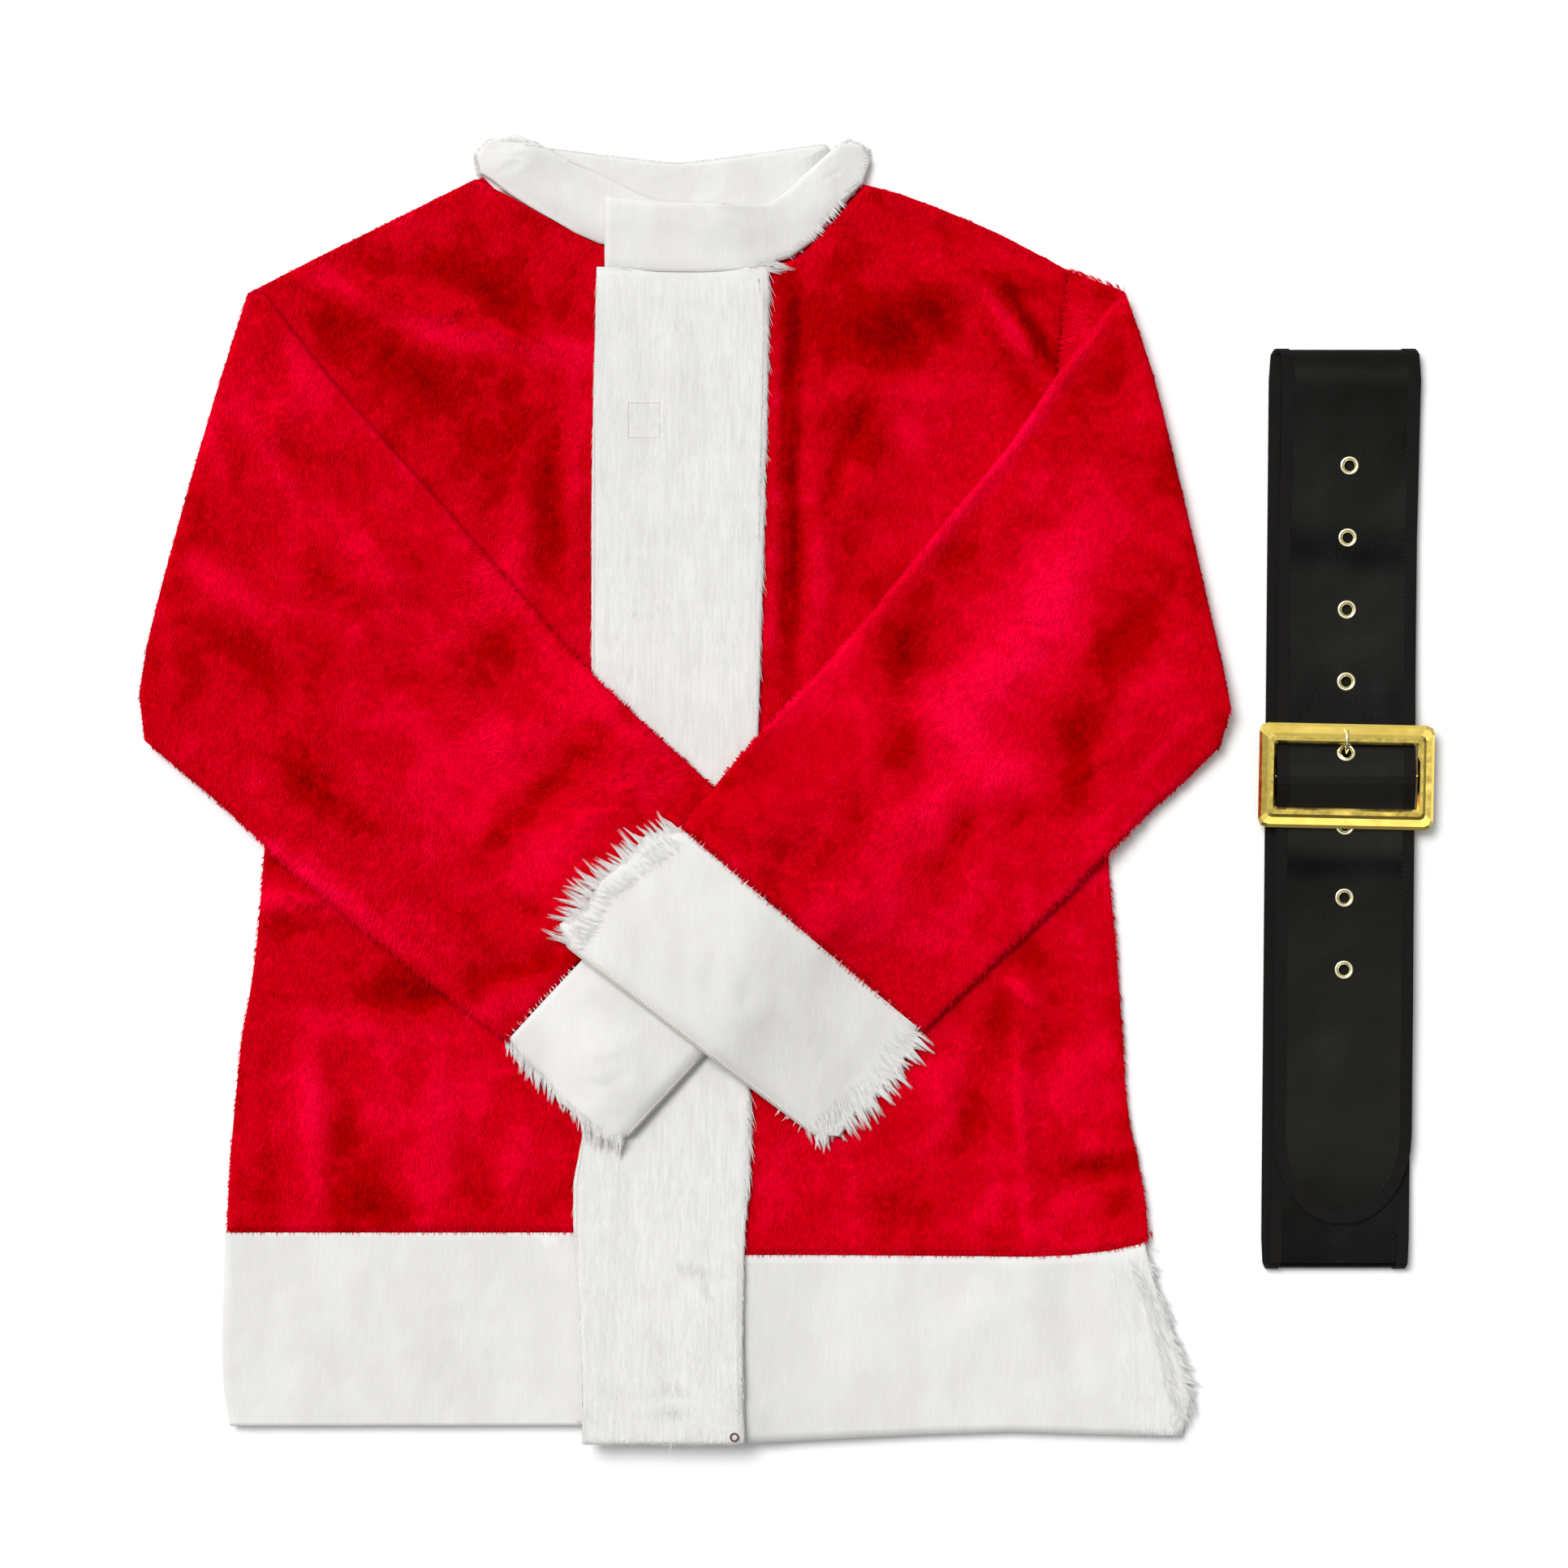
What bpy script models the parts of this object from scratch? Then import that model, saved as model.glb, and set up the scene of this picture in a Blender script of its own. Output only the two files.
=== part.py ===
"""Santa suit jacket, laid flat on its back with its sleeves crossed, and its buckled belt beside it.

The pieces are laid one after another, as on a table. Each flat piece is a grid of points in plan,
and its height is worked out by settling that grid on the pile of everything laid before it.
Tables are in millimetres: x from the middle of the jacket, y up from the hem, z up from the table.
"Left" and "right" are as seen from above, with the collar at the top.
"""

import math

import bmesh
import bpy
import numpy as np
from mathutils import Vector

MM = 0.001

# ---------------------------------------------------------------- driving sizes, mm
GAP = 0.3                  # between neighbouring pieces
SEAM_GAP = 0.8             # between a front and its hem band, whose edges are split differently
EASE = 0.25                # added where a piece is laid on a pile that is only sampled
PLUSH = 2.6                # red cloth with its short pile
FUR = 4.0                  # white trim with its long pile combed flat
SLEEVE_HEIGHT = 6.4        # a flattened sleeve: two walls of plush and a little air
TURN_HEIGHT = 5.5          # the two hidden walls between an armhole and the sleeve's fold
CUFF_HEIGHT = 9.2          # a flattened cuff: two walls of fur and a little air
SEAM_HEIGHT = 132.5        # top of the hem band above the hem, left side
NECK_LEFT = (-118.0, 784.5)
NECK_RIGHT = (117.0, 780.0)

STRAP_WIDTH = 85.4
STRAP_CORE = 1.4           # thickness of the strap without its binding
TAPE = 0.4                 # thickness of the binding tape
TAPE_WIDTH = 6.5           # how far the binding reaches in from the edge
EYELET_PITCH = 44.45
FIRST_EYELET = 605.0       # y of the top eyelet
BUCKLE_Y = 413.2           # the buckle's centre bar
BUCKLE_X = 414.6
BUCKLE_SIZE = (108.0, 64.5)
WINDOW_SIZE = (87.4, 39.5)
BUCKLE_BASE = 9.5          # underside of the frame
BUCKLE_TURN = math.radians(-1.2)
BAR_RADIUS = 1.5
BAR_Z = 9.2

# ---------------------------------------------------------------- edges of the body
# columns: y, x
LEFT_SIDE = [
    (711.5, -262.5), (650, -251), (600, -246), (530, -246), (457.5, -250), (373, -252.5),
    (331.5, -255.5), (291.5, -259.5), (251.5, -267), (211.5, -271), (171.5, -274.5), (132.5, -276),
]
RIGHT_SIDE = [
    (725.5, 243), (662.5, 236), (600, 232), (530, 239), (469, 262.5), (400, 267), (351.5, 268.5),
    (311.5, 272.5), (251.5, 277), (211.5, 279), (191.5, 282), (171.5, 286.5), (131, 293),
]
LEFT_FRONT_EDGE = [(735, 40), (5, 40)]
RIGHT_FRONT_EDGE = [(726, -46), (592, -49), (440, -49), (215, -52), (165, -60), (133, -60), (5, -54)]
# columns: x, y
LEFT_TOP = [(-262.5, 711.5), (-224, 731.5), (-183.5, 751.5), (-119, 783.5), (-100, 770.5),
            (-72, 754.5), (-44.5, 739.5), (0, 728), (40, 725)]
RIGHT_TOP = [(-46, 727.5), (0, 725), (60, 726.5), (78, 733), (100, 758), (118, 778.5), (144.5, 771.5),
             (194, 751.5), (232.5, 731.5), (243, 725.5)]
BACK_NECK = [(100, 765), (60, 754), (0, 750), (-60, 753), (-100, 765)]
LEFT_SEAM = [(-280, 132.5), (45, 132.5)]
RIGHT_SEAM = [(-62, 121), (45, 119), (235, 117.5), (285, 123), (300, 131)]

# columns: y, left x, right x
PLACKET_EDGES = [
    (727.3, -47.5, 59), (592, -50.5, 56.5), (440, -50.5, 52), (300, -51, 48.5), (215, -53.5, 47),
    (180, -58.5, 47), (160, -62, 46.5), (133, -61.5, 44), (90, -58, 43), (40, -56, 43), (3, -56, 44),
]
# the hem bands' outer edges, columns: y, x; and their lower edges, columns: x, y
LEFT_HEM_SIDE = [(132.2, -277), (90, -278.5), (45, -279.5), (13, -274)]
RIGHT_HEM_SIDE = [(131, 293.3), (99.5, 304.5), (61, 318), (32.5, 325), (7, 314)]
LEFT_HEM = [(-280, 12.5), (45, 13)]
RIGHT_HEM = [(-60, 2), (45, 2), (147.5, 7), (208.5, 9), (270, 7), (325, 6)]
HEM_BACK_EDGE = [(-275, 132.2), (-277, 60), (-272, 15), (150, 10), (308, 11), (318, 32), (313, 60),
                 (302, 98), (292, 132.2)]

# ---------------------------------------------------------------- sleeves, cuffs and collar
# columns: outer x, outer y, inner x, inner y; a row for each section from shoulder to cuff seam
LEFT_SLEEVE = [
    (-262.5, 711.5, -253, 712), (-281.5, 651.5, -219, 668), (-299, 591.5, -184, 626),
    (-315.5, 531.5, -149, 588), (-327, 481.5, -117, 551), (-329, 441, -96, 527),
    (-310, 421.5, -80, 508), (-274.5, 391.5, -54, 480), (-232, 352, -27, 454),
    (-190.5, 317.5, -2, 431), (-145.5, 281.5, 18, 413), (-104.5, 250, 33.5, 398),
]
RIGHT_SLEEVE = [
    (278.5, 711.5, 269.5, 703), (295.5, 661.5, 237, 662), (308, 611.5, 206, 616),
    (320, 561.5, 176, 581), (331.5, 511.5, 145, 543.5), (342.5, 461, 119, 511),
    (341.5, 438, 103, 492), (317, 412, 87, 475), (286, 384, 66, 453),
    (242, 339.5, 44, 429), (205, 305, 23, 404), (154.5, 256, 6, 382.5),
]
# the stretch from armhole to fold; columns: fold x, fold y, armhole x, armhole y
LEFT_TURN = [
    (-264.6, 702, -261.3, 702), (-280.5, 651.5, -251.6, 650), (-298, 591.5, -246.5, 600),
    (-314.5, 531.5, -246.5, 540), (-326, 481.5, -248.7, 495), (-327, 442, -250.4, 457.5),
]
RIGHT_TURN = [
    (278.5, 712.5, 243.5, 725.3), (294.5, 661.5, 236.5, 668), (307, 611.5, 232.5, 612),
    (319, 561.5, 236.5, 556), (330.5, 511.5, 248, 508), (341, 448, 262.8, 469),
]
# columns: side a x, y, side b x, y; a row for each section from the seam to the open end
LEFT_CUFF = [
    (-104.3, 248.8, 34.3, 397.2), (-94, 226, 58, 381), (-74, 204, 77, 367), (-50, 190, 94, 354),
    (-27, 191.5, 111, 340),
]
RIGHT_CUFF = [
    (3, 383, 154.5, 254.6), (-24, 376, 153, 234), (-42, 357, 141, 214), (-60, 336, 124, 196),
    (-72, 320, 105, 183), (-66.5, 309.5, 90, 188.5),
]
# columns: seam x, y, free edge x, y; a row for each section along the strip
COLLAR_BACK = [
    (-108, 776, -94, 803), (-84, 764, -74, 801), (-50, 756, -42, 796.5), (-5, 752.5, 2, 792),
    (45, 755, 42, 796), (80, 763, 72, 801), (106, 775, 94, 804),
]
COLLAR_LEFT = [
    (-122.5, 797, -114, 806), (-120.5, 788, -100, 810), (-113, 783.5, -84, 804), (-100, 774, -68, 795.5),
    (-74, 758.5, -46, 785), (-45, 742.5, -20, 772.5), (0, 731, -4, 768), (34, 729, 34, 766.5),
]
COLLAR_RIGHT = [
    (121.5, 793, 117, 803.5), (119.5, 783, 108, 807.5), (114, 776, 99, 801), (96, 756, 81, 785),
    (79, 737, 62, 768.5), (52, 728.8, 44, 766), (5, 728.2, 0, 767), (-42.5, 728.8, -42.5, 770.5),
]
LOCK = 4.0                 # how far the fur's locks stand in and out along a cuff's side

# ---------------------------------------------------------------- largest folds
# columns: from x, y, to x, y, half width, height
LEFT_FRONT_FOLDS = [
    (-250, 338, -195, 332, 11, 3.0), (-75.5, 500, -75.5, 618, 13, 2.4), (-210, 690, -80, 690, 18, 2.0),
    (-180, 180, -176, 240, 22, 1.8), (-225, 560, -140, 540, 24, 1.6),
]
RIGHT_FRONT_FOLDS = [
    (216, 120, 216, 262, 13, 3.2), (72, 440, 72, 722, 12, 2.4), (200, 713, 240, 655, 9, 2.6),
    (150, 752, 238, 712, 9, 2.4), (120, 250, 124, 150, 24, 1.8), (130, 600, 110, 690, 26, 1.6),
    (262, 330, 240, 300, 14, 2.0),
]
LEFT_SLEEVE_FOLDS = [
    (-130, 332, -66, 395, 12, 2.2), (-160, 345, -100, 410, 12, 1.8), (-300, 470, -170, 560, 26, 2.2),
    (-255, 430, -120, 520, 26, 1.6), (-290, 590, -215, 620, 22, 1.6),
]
RIGHT_SLEEVE_FOLDS = [
    (300, 455, 165, 545, 26, 2.4), (250, 415, 130, 500, 24, 1.8), (285, 600, 235, 610, 22, 1.6),
    (150, 310, 95, 370, 14, 1.6), (205, 350, 120, 430, 18, 1.4),
]
PLACKET_FOLDS = [(-5, 700, 5, 640, 30, 1.4), (0, 480, 0, 380, 34, 1.4), (-10, 120, 5, 60, 26, 1.6)]
HEM_LEFT_FOLDS = [(-150, 118, -140, 25, 22, 1.6), (-215, 110, -222, 30, 20, 1.4)]
HEM_RIGHT_FOLDS = [(216, 115, 224, 20, 15, 2.4), (120, 100, 118, 25, 24, 1.6), (300, 90, 312, 30, 12, 2.0)]
CUFF_FOLDS = [(20, 290, 60, 325, 26, 1.6)]

# ---------------------------------------------------------------- the belt's route
# columns: y, z of the strap's middle; from the bar down to the foot, under everything to the top
LOWER_RUN = [(403, 5.4), (394, 4.5), (330, 4.5), (240, 4.5), (160, 4.5), (128, 5.6)]
FLOOR_Z = 1.4              # middle of the strap's lowest run
FLOOR_RUN = [
    (128, 1.9), (150, FLOOR_Z), (300, FLOOR_Z), (470, FLOOR_Z), (636, FLOOR_Z), (658, 1.9),
]
UPPER_RUN = [
    (658, 5.6), (636, 4.5), (560, 4.5), (500, 4.6), (468, 5.4), (450, 7.2), (440, 7.6), (432.2, 7.6),
    (421.2, 12.6), (417.5, 13.9), (413.2, 14.4), (408.9, 13.9), (405.2, 12.6), (394.2, 7.6),
    (380, 7.6), (330, 7.6), (279, 8.6), (232, 7.8), (192, 7.6),
]
FOLD_RADIUS = 2.6          # of the strap's middle, where it turns back at the head and foot
FOLD_STEPS = 5
HEAD_Y = 677.5 - FOLD_RADIUS - STRAP_CORE
FOOT_Y = 109.0 + FOLD_RADIUS + STRAP_CORE
TIP_Y = 137.5
TIP_START = 192.0
TIP_STEPS = 8
# columns: y, x of the strap's middle
LOWER_CENTRE = [(403, 414.6), (109, 410.5)]
FLOOR_CENTRE = [(109, 405.5), (677, 410.5)]
UPPER_CENTRE = [(677, 419.0), (560, 416), (470, 415), (380, 414), (137, 412)]
# columns: y, z of the prong's middle
PRONG_RUN = [
    (418, 6.9), (421, 7.0), (423.8, 7.4), (425.5, 8.4), (427.2, 9.9), (429.5, 12.2), (431.3, 13.9),
    (433.5, 15.0), (436, 15.3), (441.5, 14.9),
]
PRONG_RADIUS = 0.95


# ---------------------------------------------------------------- tables and curves
def smooth_rows(rows, count):
    """Points of a Catmull-Rom curve through the rows, evenly spaced along it."""
    rows = np.array(rows, float)
    first, last = 2 * rows[0] - rows[1], 2 * rows[-1] - rows[-2]
    knots = np.vstack([first, rows, last])
    dense = []
    for a, b, c, d in zip(knots, knots[1:], knots[2:], knots[3:]):
        for t in np.linspace(0, 1, 12, endpoint=False):
            dense.append(0.5 * (2 * b + (c - a) * t + (2 * a - 5 * b + 4 * c - d) * t * t
                                + (3 * b - 3 * c + d - a) * t ** 3))
    dense = np.array(dense + [rows[-1]])
    steps = np.linalg.norm(np.diff(dense, axis=0), axis=1)
    run = np.concatenate([[0], np.cumsum(steps)])
    wanted = np.linspace(0, run[-1], count)
    return np.column_stack([np.interp(wanted, run, column) for column in dense.T])


def along(rows, place):
    """Second column of a two-column table, read at a value of the first."""
    rows = sorted(rows)
    return float(np.interp(place, [r[0] for r in rows], [r[1] for r in rows]))


def across_fractions(width, columns, roundness, left=True, right=True):
    """Fractions across a section: two close columns at each rounded edge, the rest even."""
    rim = min(roundness / width, 0.22)
    edges = [0, 0.3 * rim, rim]
    start = edges if left else [0]
    end = [1 - e for e in reversed(edges)] if right else [1]
    middle = np.linspace(start[-1], end[0], columns + 1)[1:-1]
    return np.concatenate([start, middle, end])


def bulges(columns, left=True, right=True):
    """How far each column opens from its middle height: 0 on a rounded edge, 1 inside."""
    rise = [0, math.sqrt(1 - 0.7 ** 2), 1]
    start = rise if left else [1]
    end = rise[::-1] if right else [1]
    return np.concatenate([start, np.ones(columns - 1), end])


# ---------------------------------------------------------------- plans: grids of x, y points
def section_plan(sections, rows, columns, roundness, locks=(0, 0)):
    """A grid whose rows run straight across, from one edge of each section to the other."""
    plan = []
    for number, (ax, ay, bx, by) in enumerate(smooth_rows(sections, rows)):
        a, b = np.array([ax, ay]), np.array([bx, by])
        width = np.linalg.norm(b - a)
        out = (b - a) / width
        inside = 0 < number < rows - 1
        tooth = (1 if number % 2 else -1) * 0.5 * inside
        a, b = a - out * locks[0] * tooth, b + out * locks[1] * tooth
        share = across_fractions(np.linalg.norm(b - a), columns, roundness)
        plan.append([a + (b - a) * u for u in share])
    return np.array(plan)


def front_plan(side, edge, top, seam, rows, columns, roundness):
    """A front panel from its side seam to its front edge, and from its top to its hem seam."""
    left = side[0][1] < 0
    width = abs(edge[0][1] - side[0][1])
    share = across_fractions(width, columns, roundness)
    share = share if left else 1 - share[::-1]
    plan = np.zeros((rows, len(share), 2))
    for column, u in enumerate(share):
        x = side[0][1] + (edge[0][1] - side[0][1]) * u
        for _ in range(4):
            top_y = along(top, x)
            x = along(side, top_y) + (along(edge, top_y) - along(side, top_y)) * u
        for row in range(rows):
            share_down = row / (rows - 1)
            y = top_y + (along(seam, x) - top_y) * share_down
            x_here = along(side, y) + (along(edge, y) - along(side, y)) * u
            y = top_y + (along(seam, x_here) - top_y) * share_down
            plan[row, column] = (x_here, y)
    return plan if left else plan[:, ::-1]


def placket_plan(edges, rows, columns, roundness):
    """The placket's grid, level rows from the collar to the hem."""
    return section_plan([(left, y, right, y) for y, left, right in edges], rows, columns, roundness)


# ---------------------------------------------------------------- the pile
class Pile:
    """Height of each piece laid so far, on a square raster."""

    CELL = 2.5
    REACH = 1.9            # how far beyond its edges a facet is felt
    LOW = np.array([-360.0, -20.0])
    HIGH = np.array([360.0, 830.0])

    def __init__(self):
        self.cells = ((self.HIGH - self.LOW) / self.CELL).astype(int) + 1
        self.pieces = {}

    def height(self, beside=()):
        """Top of the pile, leaving out the pieces that the next one is sewn beside."""
        under = [heights for name, heights in self.pieces.items() if name not in beside]
        return np.max(under, axis=0) if under else np.zeros(self.cells)

    def under(self, corners):
        """Raster cells inside a triangle in plan, with the corners' weights at each cell."""
        low = np.floor((corners.min(axis=0) - self.LOW) / self.CELL).astype(int)
        high = np.ceil((corners.max(axis=0) - self.LOW) / self.CELL).astype(int)
        i, j = np.meshgrid(np.arange(low[0], high[0] + 1), np.arange(low[1], high[1] + 1), indexing="ij")
        x, y = self.LOW[0] + i * self.CELL, self.LOW[1] + j * self.CELL
        (ax, ay), (bx, by), (cx, cy) = corners
        area = (bx - ax) * (cy - ay) - (cx - ax) * (by - ay)
        if abs(area) < 1e-6:
            return None
        wb = ((x - ax) * (cy - ay) - (cx - ax) * (y - ay)) / area
        wc = ((bx - ax) * (y - ay) - (x - ax) * (by - ay)) / area
        weights = np.stack([1 - wb - wc, wb, wc], axis=-1)
        opposite = np.linalg.norm(np.roll(corners, -1, axis=0) - np.roll(corners, -2, axis=0), axis=1)
        inside = (weights > -self.REACH * opposite / abs(area)).all(axis=-1)
        weights = np.clip(weights[inside], 0, 1)
        return i[inside], j[inside], weights / weights.sum(axis=-1, keepdims=True)

    def touch(self, plan, height):
        """Height of the pile right under each point of a grid."""
        i, j = np.moveaxis(((plan - self.LOW) / self.CELL).round().astype(int), -1, 0)
        near = [height[i + di, j + dj] for di in (-1, 0, 1) for dj in (-1, 0, 1)]
        return np.max(near, axis=0) + GAP + EASE

    def settle(self, plan, z, height, passes=40):
        """Raises the grid's heights until all its facets clear the pile."""
        flat, z = plan.reshape(-1, 2), z.reshape(-1).copy()
        jobs = []
        for corners in grid_triangles(*plan.shape[:2]):
            cells = self.under(flat[corners])
            if cells is not None and len(cells[0]):
                jobs.append((corners, height[cells[0], cells[1]] + GAP + EASE, cells[2]))
        for _ in range(passes):
            settled = True
            for corners, floor, weights in jobs:
                short = floor - weights @ z[corners]
                worst = int(short.argmax())
                if short[worst] > 0.02:
                    share = weights[worst]
                    z[corners] += share * short[worst] / (share @ share)
                    settled = False
            if settled:
                break
        return self.sink(jobs, z).reshape(plan.shape[:2])

    @staticmethod
    def sink(jobs, z, passes=8):
        """Lets points that stand higher than their facets need sink back, a third of the way each time."""
        for _ in range(passes):
            slack = np.full(z.shape, np.inf)
            for corners, floor, weights in jobs:
                spare = np.maximum(weights @ z[corners] - floor, 0)[:, None] / np.maximum(weights, 0.02)
                slack[corners] = np.minimum(slack[corners], spare.min(axis=0))
            slack[np.isinf(slack)] = 0
            z = z - slack / 3
        return z

    def lay(self, plan, folds=(), beside=(), soft=3):
        """Base heights of a grid laid on the pile, bridging its steps softly, with its folds lifted."""
        height = self.height(beside)
        z = self.settle(plan, self.touch(plan, height), height)
        for _ in range(soft):
            padded = np.pad(z, 1, mode="edge")
            mean = (padded[2:, 1:-1] + padded[:-2, 1:-1] + padded[1:-1, 2:] + padded[1:-1, :-2]) / 4
            z = np.maximum(z, mean)
        for fold in folds:
            z = z + lift(plan, *fold)
        return z

    def add(self, name, plan, top):
        """Puts a grid's top surface on the pile."""
        height = self.pieces[name] = np.zeros(self.cells)
        flat, top = plan.reshape(-1, 2), top.reshape(-1)
        for corners in grid_triangles(*plan.shape[:2]):
            cells = self.under(flat[corners])
            if cells is None:
                continue
            i, j, weights = cells
            np.maximum.at(height, (i, j), weights @ top[corners])

    def add_outline(self, name, points, thick):
        """Puts a flat outlined piece on the pile."""
        height = self.pieces[name] = np.zeros(self.cells)
        centre = np.mean(points, axis=0)
        for k in range(len(points)):
            cells = self.under(np.array([centre, points[k - 1], points[k]]))
            if cells is not None:
                height[cells[0], cells[1]] = thick


def lift(plan, ax, ay, bx, by, half_width, height):
    """A soft ridge along a line, fading to nothing at its ends."""
    a, b = np.array([ax, ay]), np.array([bx, by])
    run = b - a
    t = np.clip(((plan - a) @ run) / (run @ run), 0, 1)
    away = np.linalg.norm(plan - (a + t[..., None] * run), axis=-1)
    return height * np.exp(-(away / half_width) ** 2) * (0.35 + 0.65 * np.sin(math.pi * t) ** 0.7)


def grid_triangles(rows, columns):
    """Corner numbers of a grid's triangles, the same split wherever the grid is used."""
    corners = []
    for r in range(rows - 1):
        for c in range(columns - 1):
            a, b = r * columns + c, r * columns + c + 1
            d, e = a + columns, b + columns
            corners += [[a, b, e], [a, e, d]]
    return np.array(corners)


# ---------------------------------------------------------------- solids
class Shape:
    """Collects points and faces, in millimetres."""

    def __init__(self):
        self.points = []
        self.faces = []

    def grid(self, plan, z):
        """Adds a grid of points and returns their numbers."""
        start = len(self.points)
        for (x, y), height in zip(plan.reshape(-1, 2), z.reshape(-1)):
            self.points.append((x, y, height))
        return start + np.arange(z.size).reshape(z.shape)

    def face(self, *corners):
        """Adds a face, leaving out corners that coincide."""
        kept = [int(c) for k, c in enumerate(corners) if c != corners[k - 1]]
        if len(kept) > 2:
            self.faces.append(kept)

    def skin(self, numbers, up=True):
        """Faces over a grid, split as grid_triangles splits it."""
        ids = numbers.reshape(-1)
        for a, b, c in grid_triangles(*numbers.shape):
            self.face(ids[a], ids[c], ids[b]) if up else self.face(ids[a], ids[b], ids[c])

    def strip(self, first, second):
        """Faces between two lines of points."""
        for k in range(len(first) - 1):
            self.face(first[k], first[k + 1], second[k + 1])
            self.face(first[k], second[k + 1], second[k])


def panel(plan, base, thick, bulge):
    """One wall of cloth: its top, its bottom, and its cut ends."""
    shape = Shape()
    bulge = np.broadcast_to(bulge, base.shape)
    top = shape.grid(plan, base + thick * (0.5 + 0.5 * bulge))
    bottom = shape.grid(plan, base + thick * (0.5 - 0.5 * bulge))
    bottom = np.where(bulge == 0, top, bottom)
    shape.skin(top, up=True)
    shape.skin(bottom, up=False)
    shape.strip(top[0], bottom[0])
    shape.strip(bottom[-1], top[-1])
    shape.strip(bottom[:, 0], top[:, 0])
    shape.strip(top[:, -1], bottom[:, -1])
    return shape


def tube(plan, base, high, wall, bulge, closed_rows=0):
    """A flattened tube of one wall: open at its last row, and at its first unless rows are closed."""
    shape = Shape()
    bulge = np.broadcast_to(bulge, base.shape).copy()
    if closed_rows:
        bulge[0] = 0
    top = shape.grid(plan, base + high * (0.5 + 0.5 * bulge))
    bottom = shape.grid(plan, base + high * (0.5 - 0.5 * bulge))
    bottom = np.where(bulge == 0, top, bottom)
    shape.skin(top, up=True)
    shape.skin(bottom, up=False)
    inside = slice(closed_rows, None), slice(2, -2)
    opening = np.ones(base[inside].shape)
    opening[:, 0] = opening[:, -1] = 0
    if closed_rows:
        opening[0] = 0
    middle, half = base[inside] + high / 2, high / 2 - wall
    roof = shape.grid(plan[inside], middle + half * opening)
    floor = shape.grid(plan[inside], middle - half * opening)
    floor = np.where(opening == 0, roof, floor)
    shape.skin(roof, up=False)
    shape.skin(floor, up=True)
    open_end(shape, top[-1], bottom[-1], roof[-1], floor[-1])
    if not closed_rows:
        open_end(shape, bottom[0], top[0], floor[0], roof[0])
    return shape


def open_end(shape, outer_top, outer_bottom, inner_top, inner_bottom):
    """The cloth's thickness seen at an open end of a tube."""
    shape.strip(inner_top, outer_top[2:-2])
    shape.strip(outer_bottom[2:-2], inner_bottom)
    left, right = inner_top[0], inner_top[-1]
    for ring in (outer_top[:3], outer_bottom[2::-1]):
        for k in range(len(ring) - 1):
            shape.face(left, ring[k + 1], ring[k])
    for ring in (outer_top[-3:], outer_bottom[-1:-4:-1]):
        for k in range(len(ring) - 1):
            shape.face(right, ring[k + 1], ring[k])


def make_object(name, shape, material, collection):
    """A Blender object from a shape, its faces turned outward."""
    mesh = bpy.data.meshes.new(name)
    mesh.from_pydata([[c * MM for c in point] for point in shape.points], [], shape.faces)
    body = bmesh.new()
    body.from_mesh(mesh)
    loose = [v for v in body.verts if not v.link_faces]
    bmesh.ops.delete(body, geom=loose, context="VERTS")
    bmesh.ops.recalc_face_normals(body, faces=body.faces)
    body.to_mesh(mesh)
    body.free()
    mesh.shade_smooth()
    mesh.set_sharp_from_angle(angle=math.radians(50))
    return place(name, mesh, material, collection)


def place(name, data, material, collection):
    """Links an object to its collection and gives it its material."""
    item = bpy.data.objects.new(name, data)
    data.materials.append(material)
    collection.objects.link(item)
    return item


def make_material(name, color, roughness, metallic=0.0):
    """A Principled material in one colour."""
    material = bpy.data.materials.new(name)
    material.use_nodes = True
    shader = material.node_tree.nodes["Principled BSDF"]
    shader.inputs["Base Color"].default_value = (*color, 1)
    shader.inputs["Roughness"].default_value = roughness
    shader.inputs["Metallic"].default_value = metallic
    material.diffuse_color = (*color, 1)
    return material


def flat_outline(name, points, thick, material, collection):
    """A flat piece lying on the table, from its outline."""
    curve = bpy.data.curves.new(name, "CURVE")
    curve.dimensions = "2D"
    curve.fill_mode = "BOTH"
    curve.extrude = thick / 2 * MM
    spline = curve.splines.new("POLY")
    spline.points.add(len(points) - 1)
    for knot, (x, y) in zip(spline.points, points):
        knot.co = (x * MM, y * MM, 0, 1)
    spline.use_cyclic_u = True
    item = place(name, curve, material, collection)
    item.location.z = thick / 2 * MM
    return item


# ---------------------------------------------------------------- the jacket
def body_back_outline():
    """The back panel's outline, a little inside the fronts that lie on it."""
    inset = 1.0
    left = [(x + inset, y) for y, x in LEFT_SIDE]
    right = [(x - inset, y) for y, x in reversed(RIGHT_SIDE)]
    left[-1] = (left[-1][0], SEAM_HEIGHT)
    right[0] = (right[0][0], SEAM_HEIGHT)
    shoulder_right = [(194, 750), (NECK_RIGHT[0], NECK_RIGHT[1] - 1)]
    shoulder_left = [(NECK_LEFT[0], NECK_LEFT[1] - 1), (-183.5, 750.5), (-224, 730.5)]
    return left + right + shoulder_right + BACK_NECK + shoulder_left


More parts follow.
